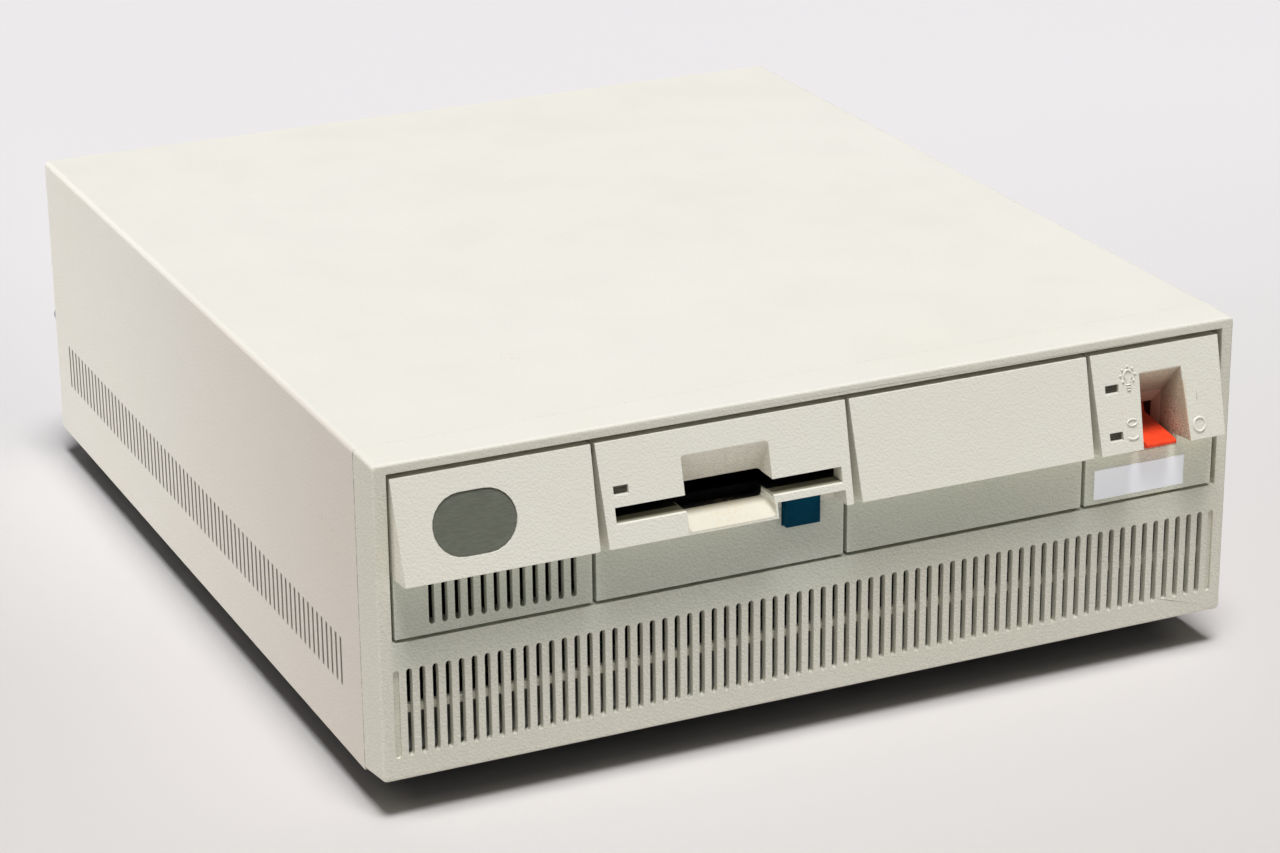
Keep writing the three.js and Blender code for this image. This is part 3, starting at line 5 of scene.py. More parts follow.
import bmesh
import bpy
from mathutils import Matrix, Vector


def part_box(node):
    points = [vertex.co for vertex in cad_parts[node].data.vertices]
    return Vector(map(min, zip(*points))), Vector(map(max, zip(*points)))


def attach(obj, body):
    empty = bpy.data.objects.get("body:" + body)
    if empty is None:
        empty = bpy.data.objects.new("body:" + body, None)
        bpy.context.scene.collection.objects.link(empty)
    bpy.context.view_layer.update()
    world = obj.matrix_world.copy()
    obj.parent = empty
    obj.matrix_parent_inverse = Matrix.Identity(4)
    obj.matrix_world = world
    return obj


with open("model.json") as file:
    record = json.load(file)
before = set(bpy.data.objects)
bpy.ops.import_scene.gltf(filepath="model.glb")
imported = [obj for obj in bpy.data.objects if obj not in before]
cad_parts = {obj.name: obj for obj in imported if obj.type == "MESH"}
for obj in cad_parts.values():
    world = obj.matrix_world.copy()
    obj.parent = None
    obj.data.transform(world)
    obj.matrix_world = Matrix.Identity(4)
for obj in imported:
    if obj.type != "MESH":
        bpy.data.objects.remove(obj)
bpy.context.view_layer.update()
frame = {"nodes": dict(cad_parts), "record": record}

# Colours, linear
CREAM = (0.865, 0.835, 0.755)
CREAM_AGED = (0.845, 0.80, 0.685)
BEZEL = (0.88, 0.86, 0.755)
BEZEL_AGED = (0.86, 0.825, 0.68)
FRAME = (0.84, 0.825, 0.71)
FRAME_AGED = (0.83, 0.80, 0.645)
# Dark colours for specks of soil, and for painted shade in corners and gaps
FRAME_GRIME_AND_SHADE = (0.12, 0.125, 0.09)
GRIME_AND_SHADE = (0.16, 0.155, 0.11)
# Painted highlight: raised symbols a little lighter than the bezel
SYMBOL_HIGHLIGHT = (0.93, 0.91, 0.81)
# Painted black: the drive and the deep shade in the diskette mouth
DRIVE_BLACK_AND_SHADE = (0.003, 0.003, 0.003)

# Faces of the case
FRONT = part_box("front_frame")[0][1]
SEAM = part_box("top_cover")[0][1]
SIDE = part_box("top_cover")[1][0]
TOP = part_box("top_cover")[1][2]

# Slanted face of the front units, from its lip back to its top
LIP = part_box("switch_bezel")[0][1]
LIP_HEIGHT = 0.0955
UNIT_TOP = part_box("switch_bezel")[1][2]
SLOPE = (FRONT - LIP) / (UNIT_TOP - LIP_HEIGHT)
TILT = math.atan(SLOPE)

# Sill between the window and the grille
SILL_MIDDLE = 0.0655
SILL_HALF = 0.0045

# Diskette mouth, its finger scoop and the switch's funnel: both ends, floors, roofs and back
MOUTH = (-0.0893, 0.0039)
MOUTH_FLOOR = 0.1035
MOUTH_ROOF = 0.1102
SCOOP = (-0.0611, -0.0248)
SCOOP_FLOOR = 0.096
FUNNEL = (0.1343, 0.1556)
FUNNEL_FLOOR = 0.0905
FUNNEL_ROOF = 0.1262
FUNNEL_BACK = -0.187

# Ends of a box that is open to the front and to the back
FORE = -1.0
AFT = 1.0

# Row of vents along each side
VENT_START = -0.16235
VENT_PITCH = 0.00502
VENT_COUNT = 71
VENT_MIDDLE = 0.0484
VENT_HALF = 0.0096

# Faces of the boards, which lie below the tops of their chips
BOARD_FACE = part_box("system_board")[1][2] - 0.0036
CARD_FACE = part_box("disk_adapter_card")[0][0] + 0.0082

# Grain that the mould leaves in plastic
GRAIN_SCALE = 1080.0
GRAIN_DEPTH = 0.00009

# Directions
RIGHT = Vector((1, 0, 0))
BACK = Vector((0, 1, 0))
UP = Vector((0, 0, 1))


# Node helpers

class Tree:
    """A material's nodes, with short calls to add and join them."""

    def __init__(self, name):
        self.material = bpy.data.materials.new(name)
        self.material.use_nodes = True
        self.tree = self.material.node_tree
        self.tree.nodes.clear()
        self.shader = self.add("BsdfPrincipled")
        self.join(self.shader.outputs[0], self.add("OutputMaterial").inputs["Surface"])
        self.place = self.add("TexCoord").outputs["Object"]

    def add(self, kind, **values):
        node = self.tree.nodes.new("ShaderNode" + kind)
        for key, value in values.items():
            setattr(node, key, value)
        return node

    def join(self, source, target):
        self.tree.links.new(source, target)

    def put(self, socket, value):
        if isinstance(value, bpy.types.NodeSocket):
            self.join(value, socket)
        elif isinstance(value, tuple) and len(value) == 3 and socket.type == "RGBA":
            socket.default_value = (*value, 1.0)
        else:
            socket.default_value = value

    def math(self, operation, a, b=0.0):
        node = self.add("Math", operation=operation)
        self.put(node.inputs[0], a)
        self.put(node.inputs[1], b)
        return node.outputs[0]

    def times(self, product, *others):
        for other in others:
            product = self.math("MULTIPLY", product, other)
        return product

    def mix(self, share, a, b, blend="MIX"):
        node = self.add("Mix", data_type="RGBA", blend_type=blend, clamp_factor=True)
        self.put(node.inputs[0], share)
        self.put(node.inputs[6], a)
        self.put(node.inputs[7], b)
        return node.outputs[2]

    def tint(self, color, share, by):
        """The colour multiplied by another where the share is 1."""
        return self.mix(share, color, self.mix(1.0, color, by, "MULTIPLY"))

    def shade(self, color, tone):
        """The colour made darker or lighter by a tone."""
        grey = self.add("CombineColor")
        for socket in grey.inputs[:3]:
            self.join(tone, socket)
        return self.mix(1.0, color, grey.outputs[0], "MULTIPLY")

    def ramp(self, value, low, high, start=0.0, end=1.0):
        node = self.add("MapRange", clamp=True, interpolation_type="SMOOTHSTEP")
        self.put(node.inputs[0], value)
        for socket, number in zip(node.inputs[1:5], (low, high, start, end)):
            socket.default_value = number
        return node.outputs[0]

    def stretched(self, scale=(1, 1, 1), turn=(0, 0, 0), shift=(0, 0, 0)):
        node = self.add("Mapping")
        self.join(self.place, node.inputs[0])
        node.inputs["Location"].default_value = shift
        node.inputs["Rotation"].default_value = turn
        node.inputs["Scale"].default_value = scale
        return node.outputs[0]

    def noise(self, scale, detail=2.0, rough=0.5, place=None):
        node = self.add("TexNoise")
        self.join(place or self.place, node.inputs["Vector"])
        node.inputs["Scale"].default_value = scale
        node.inputs["Detail"].default_value = detail
        node.inputs["Roughness"].default_value = rough
        return node.outputs["Fac"]

    def cells(self, scale, output="Distance", randomness=1.0):
        node = self.add("TexVoronoi")
        self.join(self.place, node.inputs["Vector"])
        node.inputs["Scale"].default_value = scale
        node.inputs["Randomness"].default_value = randomness
        return node.outputs[output]

    def bricks(self, place, offset, scale, gap, width, height):
        node = self.add("TexBrick", offset=offset)
        self.join(place, node.inputs["Vector"])
        node.inputs["Scale"].default_value = scale
        node.inputs["Mortar Size"].default_value = gap
        node.inputs["Brick Width"].default_value = width
        node.inputs["Row Height"].default_value = height
        return node.outputs["Fac"]

    def bump(self, height, distance, strength=1.0, normal=None):
        node = self.add("Bump")
        node.inputs["Strength"].default_value = strength
        node.inputs["Distance"].default_value = distance
        self.join(height, node.inputs["Height"])
        if normal is not None:
            self.join(normal, node.inputs["Normal"])
        return node.outputs[0]

    def edges(self, radius, low=0.02, high=0.25):
        """1 along the piece's edges, 0 on its flats."""
        bevel = self.add("Bevel", samples=2)
        bevel.inputs["Radius"].default_value = radius
        dot = self.add("VectorMath", operation="DOT_PRODUCT")
        self.join(bevel.outputs[0], dot.inputs[0])
        self.join(self.add("NewGeometry").outputs["Normal"], dot.inputs[1])
        return self.ramp(self.math("SUBTRACT", 1.0, dot.outputs["Value"]), low, high)

    def crevices(self, distance):
        """1 deep in corners and gaps, 0 on open faces."""
        node = self.add("AmbientOcclusion", samples=2, only_local=False)
        node.inputs["Distance"].default_value = distance
        return self.math("SUBTRACT", 1.0, self.ramp(node.outputs["AO"], 0.35, 0.95))

    def near(self, point, radius, core=0.1):
        """1 round a place, fading out from a core to a radius."""
        node = self.add("VectorMath", operation="DISTANCE")
        self.join(self.place, node.inputs[0])
        node.inputs[1].default_value = point
        return self.ramp(node.outputs["Value"], radius * core, radius, 1.0, 0.0)

    def part(self, vector, name):
        """One coordinate of a vector."""
        node = self.add("SeparateXYZ")
        self.join(vector, node.inputs[0])
        return node.outputs[name]

    def axis(self, name):
        return self.part(self.place, name)

    def band(self, value, middle, half, soft):
        """1 within a distance of a value, fading out over a soft edge."""
        gap = self.math("ABSOLUTE", self.math("SUBTRACT", value, middle))
        return self.ramp(gap, half, half + soft, 1.0, 0.0)

    def inside(self, low, high):
        """1 within a box given by its lowest and highest corners, 0 outside."""
        share = 1.0
        for name, a, b in zip("XYZ", low, high):
            value = self.axis(name)
            share = self.times(self.math("GREATER_THAN", value, a), share)
            share = self.times(self.math("LESS_THAN", value, b), share)
        return share

    def set_back(self):
        """Distance behind the slanted face of the front units."""
        fall = self.times(self.math("SUBTRACT", UNIT_TOP, self.axis("Z")), SLOPE)
        return self.math("ADD", self.math("SUBTRACT", self.axis("Y"), FRONT), fall)

    def glow(self, color, strength):
        self.shader.inputs["Emission Color"].default_value = (*color, 1.0)
        self.shader.inputs["Emission Strength"].default_value = strength

    def finish(self, color, rough, normal, metallic=0.0, specular=0.5):
        self.put(self.shader.inputs["Base Color"], color)
        self.put(self.shader.inputs["Roughness"], rough)
        self.shader.inputs["Metallic"].default_value = metallic
        self.shader.inputs["Specular IOR Level"].default_value = specular
        self.join(normal, self.shader.inputs["Normal"])
        return self.material


# Materials

def grain_light_and_shade(t, depth):
    """Painted light and shade on the sides of the grain's bumps, as if lit from above, faded out on faces
    that look up.
    """
    high = t.noise(GRAIN_SCALE, 2.0, 0.5)
    low = t.noise(GRAIN_SCALE, 2.0, 0.5, t.stretched(shift=(0.00012, 0.0001, 0.0003)))
    tone = t.times(t.math("SUBTRACT", low, high), depth)
    up = t.part(t.add("NewGeometry").outputs["Normal"], "Z")
    return t.math("ADD", t.times(tone, t.ramp(up, 0.5, 0.95, 1.0, 0.12)), 1.0)


def moulded(name, base, aged, grime_and_shade=GRIME_AND_SHADE, rough=0.62, grain=GRAIN_DEPTH, tone=0.66, corner_dirt_and_shade=0.25, more=None):
    """Cream moulded plastic: spark-eroded grain with painted light and shade on its bumps, patchy ageing,
    soil and painted shade in the corners, worn edges.
    """
    t = Tree(name)
    patches = t.ramp(t.noise(7.0, 4.0, 0.6), 0.38, 0.72)
    color = t.mix(t.times(patches, 0.3), base, aged)
    # Painted light and shade: the grain's bumps lit on one side and shaded on the other
    color = t.shade(color, grain_light_and_shade(t, tone))
    specks = t.ramp(t.cells(210.0), 0.045, 0.02)
    kept = t.ramp(t.noise(45.0, 1.0), 0.6, 0.68)
    color = t.mix(t.times(specks, kept, 0.3), color, grime_and_shade)
    if corner_dirt_and_shade:
        # Soil and painted shade, darkest in corners and gaps
        settled = t.ramp(t.noise(120.0, 3.0), 0.2, 0.7, 0.5, 1.0)
        color = t.mix(t.times(t.crevices(0.004), settled, corner_dirt_and_shade), color, grime_and_shade)
    worn = t.times(t.edges(0.0005), t.ramp(t.noise(160.0, 3.0), 0.4, 0.65), 0.5)
    color = t.mix(worn, color, tuple(min(0.95, c * 1.06) for c in base))
    if more:
        color = more(t, color)
    normal = t.bump(t.noise(GRAIN_SCALE, 2.0, 0.55), grain)
    normal = t.bump(t.noise(16.0, 2.0), 0.0006, 0.3, normal)
    shine = t.ramp(t.noise(30.0, 3.0), 0.3, 0.7, rough - 0.05, rough + 0.06)
    return t.finish(color, shine, normal, specular=0.42)


def seam_line(t, color):
    """Thin broken line where the cover meets the frame, seen on the sides alone."""
    line = t.band(t.axis("Y"), SEAM, 0.00012, 0.00018)
    broken = t.ramp(t.noise(190.0, 3.0, 0.7), 0.42, 0.56, 0.35, 0.95)
    side = t.ramp(t.math("ABSOLUTE", t.axis("X")), SIDE - 0.0014, SIDE - 0.0008)
    return t.mix(t.times(line, broken, side), color, (0.05, 0.048, 0.04))


def cover_marks(t, color):
    """Painted shade in the vents and along their rims, painted warm shade towards the front of the sides,
    scuffs, a brown rub and the seam.
    """
    across = t.math("ABSOLUTE", t.axis("X"))
    # The vents' inner walls lie in their own shade
    row = t.band(t.axis("Z"), VENT_MIDDLE, VENT_HALF, 0.0004)
    wall = t.times(row, t.ramp(across, SIDE - 0.0005, SIDE - 0.0009))
    color = t.mix(wall, color, (0.03, 0.029, 0.024))
    # Painted shade along their rims, so the vents read darker
    count = t.math("DIVIDE", t.math("SUBTRACT", t.axis("Y"), VENT_START), VENT_PITCH)
    off = t.math("ABSOLUTE", t.math("SUBTRACT", t.math("FRACT", t.math("ADD", count, 0.5)), 0.5))
    first = t.ramp(count, -0.5, -0.4)
    last = t.ramp(count, VENT_COUNT - 0.6, VENT_COUNT - 0.5, 1.0, 0.0)
    rim = t.times(t.ramp(off, 0.24, 0.16), row, first, last, 0.64)
    color = t.mix(rim, color, (0.17, 0.16, 0.125))
    # Painted light and shade: warmer and a little darker towards the front of the sides
    side = t.ramp(across, SIDE - 0.0015, SIDE - 0.0005)
    front = t.ramp(t.axis("Y"), SEAM, SEAM + 0.28, 1.0, 0.0)
    color = t.tint(color, t.times(side, front), (1.0, 0.955, 0.94))
    # Dark scuffs on the left side, and a small brown rub on the top
    scuffs = t.ramp(t.noise(240.0, 3.0, 0.7, t.stretched((1, 0.35, 1.6))), 0.66, 0.72)
    place = t.near((-SIDE, -0.155, 0.092), 0.022)
    color = t.mix(t.times(scuffs, place, 0.6), color, (0.2, 0.18, 0.15))
    rub = t.ramp(t.noise(900.0, 2.0, 0.5, t.stretched((0.4, 1, 1))), 0.6, 0.66)
    place = t.near((-0.092, -0.12, TOP), 0.006)
    color = t.mix(t.times(rub, place, 0.5), color, (0.55, 0.27, 0.12))
    return seam_line(t, color)


def frame_marks(t, color):
    """Top bleached as the cover's is, painted shade of the lips on the sill over the grille, and the seam."""
    color = t.tint(color, t.ramp(t.axis("Z"), TOP - 0.0012, TOP - 0.0002), (1.03, 1.01, 1.06))
    front = t.ramp(t.axis("Y"), FRONT + 0.0012, FRONT + 0.002, 1.0, 0.0)
    width = t.ramp(t.math("ABSOLUTE", t.axis("X")), SIDE - 0.0075, SIDE - 0.0035, 1.0, 0.0)
    # Painted shade: the lips above shade the sill
    sill = t.times(t.band(t.axis("Z"), SILL_MIDDLE, SILL_HALF, 0.004), width, front)
    color = t.tint(color, sill, (0.91, 0.945, 0.94))
    # Its right end catches more light
    right = t.times(sill, t.ramp(t.axis("X"), 0.09, 0.172))
    color = t.tint(color, right, (1.1, 1.09, 1.08))
    return seam_line(t, color)


def bezel_marks(t, color):
    """Painted shade on the lower panels below the lips, painted light on those to the right, and the marks in
    the mouth, the scoop and the funnel.
    """
    # Painted shade: the lower panels below the lips are darkened and greyed
    lip_shade = t.ramp(t.axis("Z"), LIP_HEIGHT - 0.0006, LIP_HEIGHT + 0.0004, 1.0, 0.0)
    color = t.tint(color, lip_shade, (0.78, 0.83, 0.81))
    # Painted light: the panels on the right are lighter
    right = t.ramp(t.axis("X"), 0.02, 0.16)
    color = t.tint(color, t.times(lip_shade, right, right), (1.31, 1.28, 1.26))
    color = mouth_marks(t, color)
    color = scoop_marks(t, color)
    # Faint mark beside the lamps
    faint = t.ramp(t.noise(1300.0), 0.45, 0.6)
    mark = t.times(t.near((0.1262, -0.2075, 0.1105), 0.003), faint, 0.3)
    color = t.mix(mark, color, (0.75, 0.55, 0.36))
    return funnel_marks(t, color)


def mouth_marks(t, color):
    """The mouth's floor lies in painted shade behind the lip, and past that painted black stands for the
    black drive and the deep shade in the mouth.
    """
    floor = t.inside((MOUTH[0], FORE, MOUTH_FLOOR), (MOUTH[1], AFT, MOUTH_FLOOR + 0.001))
    color = t.tint(color, t.times(floor, t.ramp(t.set_back(), 0.0009, 0.0016)), (0.33, 0.32, 0.26))
    # Painted black: the drive behind and the deep shade in the slit
    slit = t.inside((MOUTH[0], FRONT - 0.0005, MOUTH_FLOOR), (MOUTH[1], AFT, MOUTH_ROOF))
    beside = t.math("SUBTRACT", 1.0, t.inside((SCOOP[0], FORE, 0.0), (SCOOP[1], AFT, TOP)))
    color = t.mix(t.times(slit, beside), color, DRIVE_BLACK_AND_SHADE)
    behind = t.inside((SCOOP[0], FRONT + 0.003, MOUTH_FLOOR - 0.004), (SCOOP[1], AFT, MOUTH_ROOF))
    return t.mix(behind, color, DRIVE_BLACK_AND_SHADE)


def scoop_marks(t, color):
    """The scoop duller all over and darker towards its back, and a brown stain."""
    dish = t.inside((SCOOP[0], FORE, SCOOP_FLOOR), (SCOOP[1], AFT, SCOOP_FLOOR + 0.0049))
    rear = t.ramp(t.axis("Y"), FRONT - 0.0025, FRONT + 0.0028, 0.0, 0.75)
    color = t.tint(color, t.times(dish, rear), (0.30, 0.27, 0.2))
    color = t.tint(color, dish, (0.86, 0.835, 0.79))
    spots = t.ramp(t.noise(700.0, 3.0, 0.6), 0.5, 0.64)
    stain = t.times(t.near((-0.0427, -0.2055, SCOOP_FLOOR + 0.0025), 0.015, 0.2), spots, 0.3)
    return t.mix(stain, color, (0.72, 0.5, 0.22))


def funnel_marks(t, color):
    """Years of fingers in the switch's funnel: a brown stain with darker speckles, and darker the deeper."""
    within = t.inside((FUNNEL[0], FORE, FUNNEL_FLOOR), (FUNNEL[1], FUNNEL_BACK, FUNNEL_ROOF))
    share = t.times(within, t.ramp(t.set_back(), 0.0004, 0.0012))
    color = t.tint(color, t.times(share, 0.9), (0.80, 0.725, 0.62))
    # Darker the deeper
    depth = t.ramp(t.axis("Y"), FRONT - 0.004, FRONT + 0.009)
    color = t.tint(color, t.times(share, depth), (0.5, 0.46, 0.45))
    specks = t.ramp(t.noise(1700.0, 3.0, 0.7), 0.5, 0.62)
    low = t.ramp(t.axis("Z"), FUNNEL_FLOOR + 0.0015, 0.118, 0.9, 0.35)
    color = t.mix(t.times(share, specks, low), color, (0.2, 0.12, 0.07))
    # Its right rim is yellowed
    rim = t.band(t.set_back(), 0.0004, 0.0003, 0.0003)
    right = t.inside((FUNNEL[1] - 0.0021, FORE, FUNNEL_FLOOR + 0.0015), (FUNNEL[1], AFT, 0.119))
    return t.mix(t.times(right, rim, 0.6), color, (0.78, 0.62, 0.38))


def plain_plastic(name, base, rough, grime_and_shade=0.25, wear=0.25, specular=0.4, more=None):
    """Small coloured plastic pieces: fine grain, soil and painted shade in the corners, paler edges."""
    t = Tree(name)
    color = t.shade(base, t.ramp(t.noise(220.0, 3.0), 0.3, 0.7, 0.88, 1.06))
    worn = t.times(t.edges(0.0004), t.ramp(t.noise(300.0, 3.0), 0.35, 0.6), wear)
    color = t.mix(worn, color, tuple(c + (1.0 - c) * 0.25 for c in base))
    # Soil and painted shade in the corners
    color = t.mix(t.times(t.crevices(0.003), grime_and_shade), color, (0.22, 0.2, 0.16))
    if more:
        color = more(t, color)
    shine = t.ramp(t.noise(60.0, 3.0), 0.3, 0.7, rough - 0.06, rough + 0.08)
    return t.finish(color, shine, t.bump(t.noise(1800.0, 3.0, 0.6), 0.00004), specular=specular)


def throat_marks(t, color):
    """The end of the funnel, cream like the unit in front of it and as soiled."""
    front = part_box("switch_housing")[0][1] - 0.0005
    low = (FUNNEL[0] + 0.0007, front, FUNNEL_FLOOR + 0.001)
    high = (FUNNEL[1] - 0.001, FUNNEL_BACK - 0.0015, 0.1125)
    return t.mix(t.inside(low, high), color, (0.5, 0.38, 0.29))


def paddle_marks(t, color):
    """Speckles, painted shade towards the paddle's root, and a faint painted glow."""
    color = t.shade(color, t.ramp(t.noise(1500.0, 3.0, 0.7), 0.3, 0.7, 0.82, 1.14))
    # Painted light: a faint glow, as day-glow pigment gives back a little more than it gets
    t.glow((1.0, 0.13, 0.07), 0.07)
    # Painted shade: darker towards the root, deep in the funnel
    root = t.ramp(t.axis("Y"), FRONT + 0.001, FRONT + 0.013)
    return t.tint(color, root, (0.45, 0.36, 0.36))


def sheet_steel(name, base, rough=0.36, spangle=0.35, brush=None):
    """Zinc-coated sheet: crystal spangle or brushing, finger marks, soil and painted shade in the corners."""
    t = Tree(name)
    crystals = t.add("SeparateColor")
    t.join(t.cells(190.0, "Color"), crystals.inputs[0])
    tone = t.ramp(crystals.outputs[0], 0.0, 1.0, 1.0 - spangle * 0.3, 1.0 + spangle * 0.25)
    color = t.shade(base, tone)
    dull = t.ramp(t.noise(9.0, 5.0, 0.65), 0.45, 0.75)
    color = t.mix(t.times(dull, 0.12), color, tuple(c * 0.62 for c in base))
    # Soil and painted shade in the corners
    color = t.mix(t.times(t.crevices(0.006), 0.3), color, (0.2, 0.18, 0.15))
    streak = t.noise(60.0 if brush else 420.0, 3.0, 0.6, t.stretched(brush or (1, 1, 1)))
    shine = t.math("ADD", t.ramp(streak, 0.3, 0.7, rough - 0.02, rough + 0.05), t.times(dull, 0.04))
    return t.finish(color, shine, t.bump(streak, 0.000008), metallic=0.85)


def coated_steel(name, base):
    """Grey powder coat: orange-peel surface, rubbed edges, dust and painted shade in the corners."""
    t = Tree(name)
    color = t.shade(base, t.ramp(t.noise(30.0, 4.0, 0.6), 0.3, 0.7, 0.9, 1.08))
    rubbed = t.times(t.edges(0.0005), t.ramp(t.noise(140.0, 3.0), 0.5, 0.7), 0.6)
    color = t.mix(rubbed, color, (0.55, 0.55, 0.54))
    # Dust and painted shade in the corners
    dust = t.times(t.crevices(0.006), t.ramp(t.noise(60.0, 3.0), 0.3, 0.7, 0.1, 0.4))
    color = t.mix(dust, color, (0.2, 0.185, 0.155))
    shine = t.ramp(t.noise(50.0), 0.3, 0.7, 0.42, 0.55)
    return t.finish(color, shine, t.bump(t.noise(900.0, 2.0, 0.5), 0.00004), specular=0.35)


def circuit_board(name, base):
    """Solder mask over copper tracks, with rows of plated holes, black chips and a steel bracket."""
    t = Tree(name)
    along = t.bricks(t.place, 0.37, 130.0, 0.045, 1.7, 0.32)
    across = t.bricks(t.stretched(turn=(0, 0, math.pi / 2)), 0.61, 95.0, 0.05, 2.1, 0.4)
    tracks = t.add("RGBToBW")
    t.join(t.mix(t.ramp(t.noise(22.0, 1.0), 0.47, 0.53), along, across), tracks.inputs[0])
    copper = tuple(min(1.0, c * 2.1 + 0.012) for c in base)
    color = t.mix(t.times(tracks.outputs[0], 0.75), base, copper)
    holes = t.ramp(t.cells(390.0, randomness=0.05), 0.22, 0.17)
    rows = t.ramp(t.noise(35.0, 1.0), 0.53, 0.56)
    color = t.mix(t.times(holes, rows), color, (0.55, 0.53, 0.42))
    # Soil and painted shade in the corners
    color = t.mix(t.times(t.crevices(0.005), 0.35), color, (0.14, 0.13, 0.1))
    # Chips that are one solid with the system board or with the card
    on_board = t.inside((-0.001, -0.0935, BOARD_FACE + 0.00015), (0.0845, 0.06, BOARD_FACE + 0.0039))
    on_card = t.inside((CARD_FACE - 0.0031, -0.026, 0.062), (CARD_FACE - 0.00006, 0.126, 0.0925))
    color = t.mix(t.math("MAXIMUM", on_board, on_card), color, (0.02, 0.02, 0.021))
    # Steel bracket at the card's rear end
    low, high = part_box("disk_adapter_card")
    foot = (low[0] - 0.0001, high[1] - 0.00385, low[2] + 0.0025)
    head = (high[0] + 0.0002, high[1] + 0.01, high[2] + 0.001)
    color = t.mix(t.inside(foot, head), color, (0.4, 0.405, 0.4))
    return t.finish(color, t.ramp(t.noise(40.0), 0.3, 0.7, 0.32, 0.48), t.bump(tracks.outputs[0], 0.00008))


def film_label(name):
    """Pale bluish film: faint fibres, slightly soiled along its edges."""
    t = Tree(name)
    fibres = t.noise(420.0, 5.0, 0.7, t.stretched((1, 1, 2.5)))
    color = t.mix(t.ramp(fibres, 0.35, 0.7), (0.89, 0.91, 0.95), (0.95, 0.955, 0.97))
    soiled = t.times(t.edges(0.0012, 0.005, 0.2), t.ramp(t.noise(240.0, 3.0), 0.3, 0.7), 0.35)
    color = t.mix(soiled, color, (0.42, 0.41, 0.38))
    # Painted light: a faint glow, as from its whitener
    t.glow((0.9, 0.95, 1.0), 0.2)
    return t.finish(color, t.ramp(fibres, 0.3, 0.7, 0.34, 0.46), t.bump(fibres, 0.00003))


def badge_face(name):
    """Dark grey plate: fine satin grain, brushed on the slant, rubbed edges."""
    t = Tree(name)
    streaks = t.noise(300.0, 4.0, 0.65, t.stretched((1, 1, 6), (0, math.radians(40), 0)))
    color = t.shade((0.155, 0.166, 0.128), t.ramp(streaks, 0.3, 0.7, 0.86, 1.12))
    color = t.mix(t.times(t.edges(0.0006), 0.5), color, (0.3, 0.3, 0.27))
    shine = t.ramp(streaks, 0.3, 0.7, 0.36, 0.5)
    return t.finish(color, shine, t.bump(t.noise(1500.0, 2.0), 0.00005))


def lamp_window(name):
    """Smoky ribbed window of a lamp that is off."""
    t = Tree(name)
    rib_pitch = 0.0011
    # Painted light and shade of the ribs: light lines across the window
    ribs = t.math("SINE", t.times(t.axis("Z"), 2 * math.pi / rib_pitch))
    tone = t.math("ADD", t.times(ribs, 0.35), t.ramp(t.noise(500.0, 2.0), 0.3, 0.7, 0.8, 1.2))
    color = t.shade((0.088, 0.082, 0.062), tone)
    dust = t.times(t.ramp(t.noise(1400.0, 3.0), 0.55, 0.75), 0.25)
    color = t.mix(dust, color, (0.22, 0.21, 0.18))
    return t.finish(color, 0.35, t.bump(ribs, 0.00004), specular=0.25)


def black_rubber(name):
    """Soft rubber feet, dusty along their edges."""
    t = Tree(name)
    color = t.mix(t.ramp(t.noise(80.0, 4.0), 0.4, 0.7), (0.022, 0.022, 0.024), (0.055, 0.053, 0.05))
    dust = t.times(t.edges(0.001), t.ramp(t.noise(200.0), 0.4, 0.7), 0.5)
    color = t.mix(dust, color, (0.16, 0.15, 0.14))
    return t.finish(color, 0.82, t.bump(t.noise(1600.0, 3.0), 0.00008), specular=0.3)


def warm_metal(name, base, rough):
    """Handled metal: brass, battery cell and solder, tarnished in the corners and finely scratched."""
    t = Tree(name)
    color = t.shade(base, t.ramp(t.noise(150.0, 4.0), 0.3, 0.7, 0.84, 1.08))
    color = t.mix(t.times(t.crevices(0.002), 0.55), color, tuple(c * 0.25 for c in base))
    scratch = t.noise(260.0, 5.0, 0.7, t.stretched((1, 0.15, 1)))
    shine = t.ramp(scratch, 0.3, 0.7, rough - 0.06, rough + 0.12)
    return t.finish(color, shine, t.bump(scratch, 0.00002), metallic=1.0)


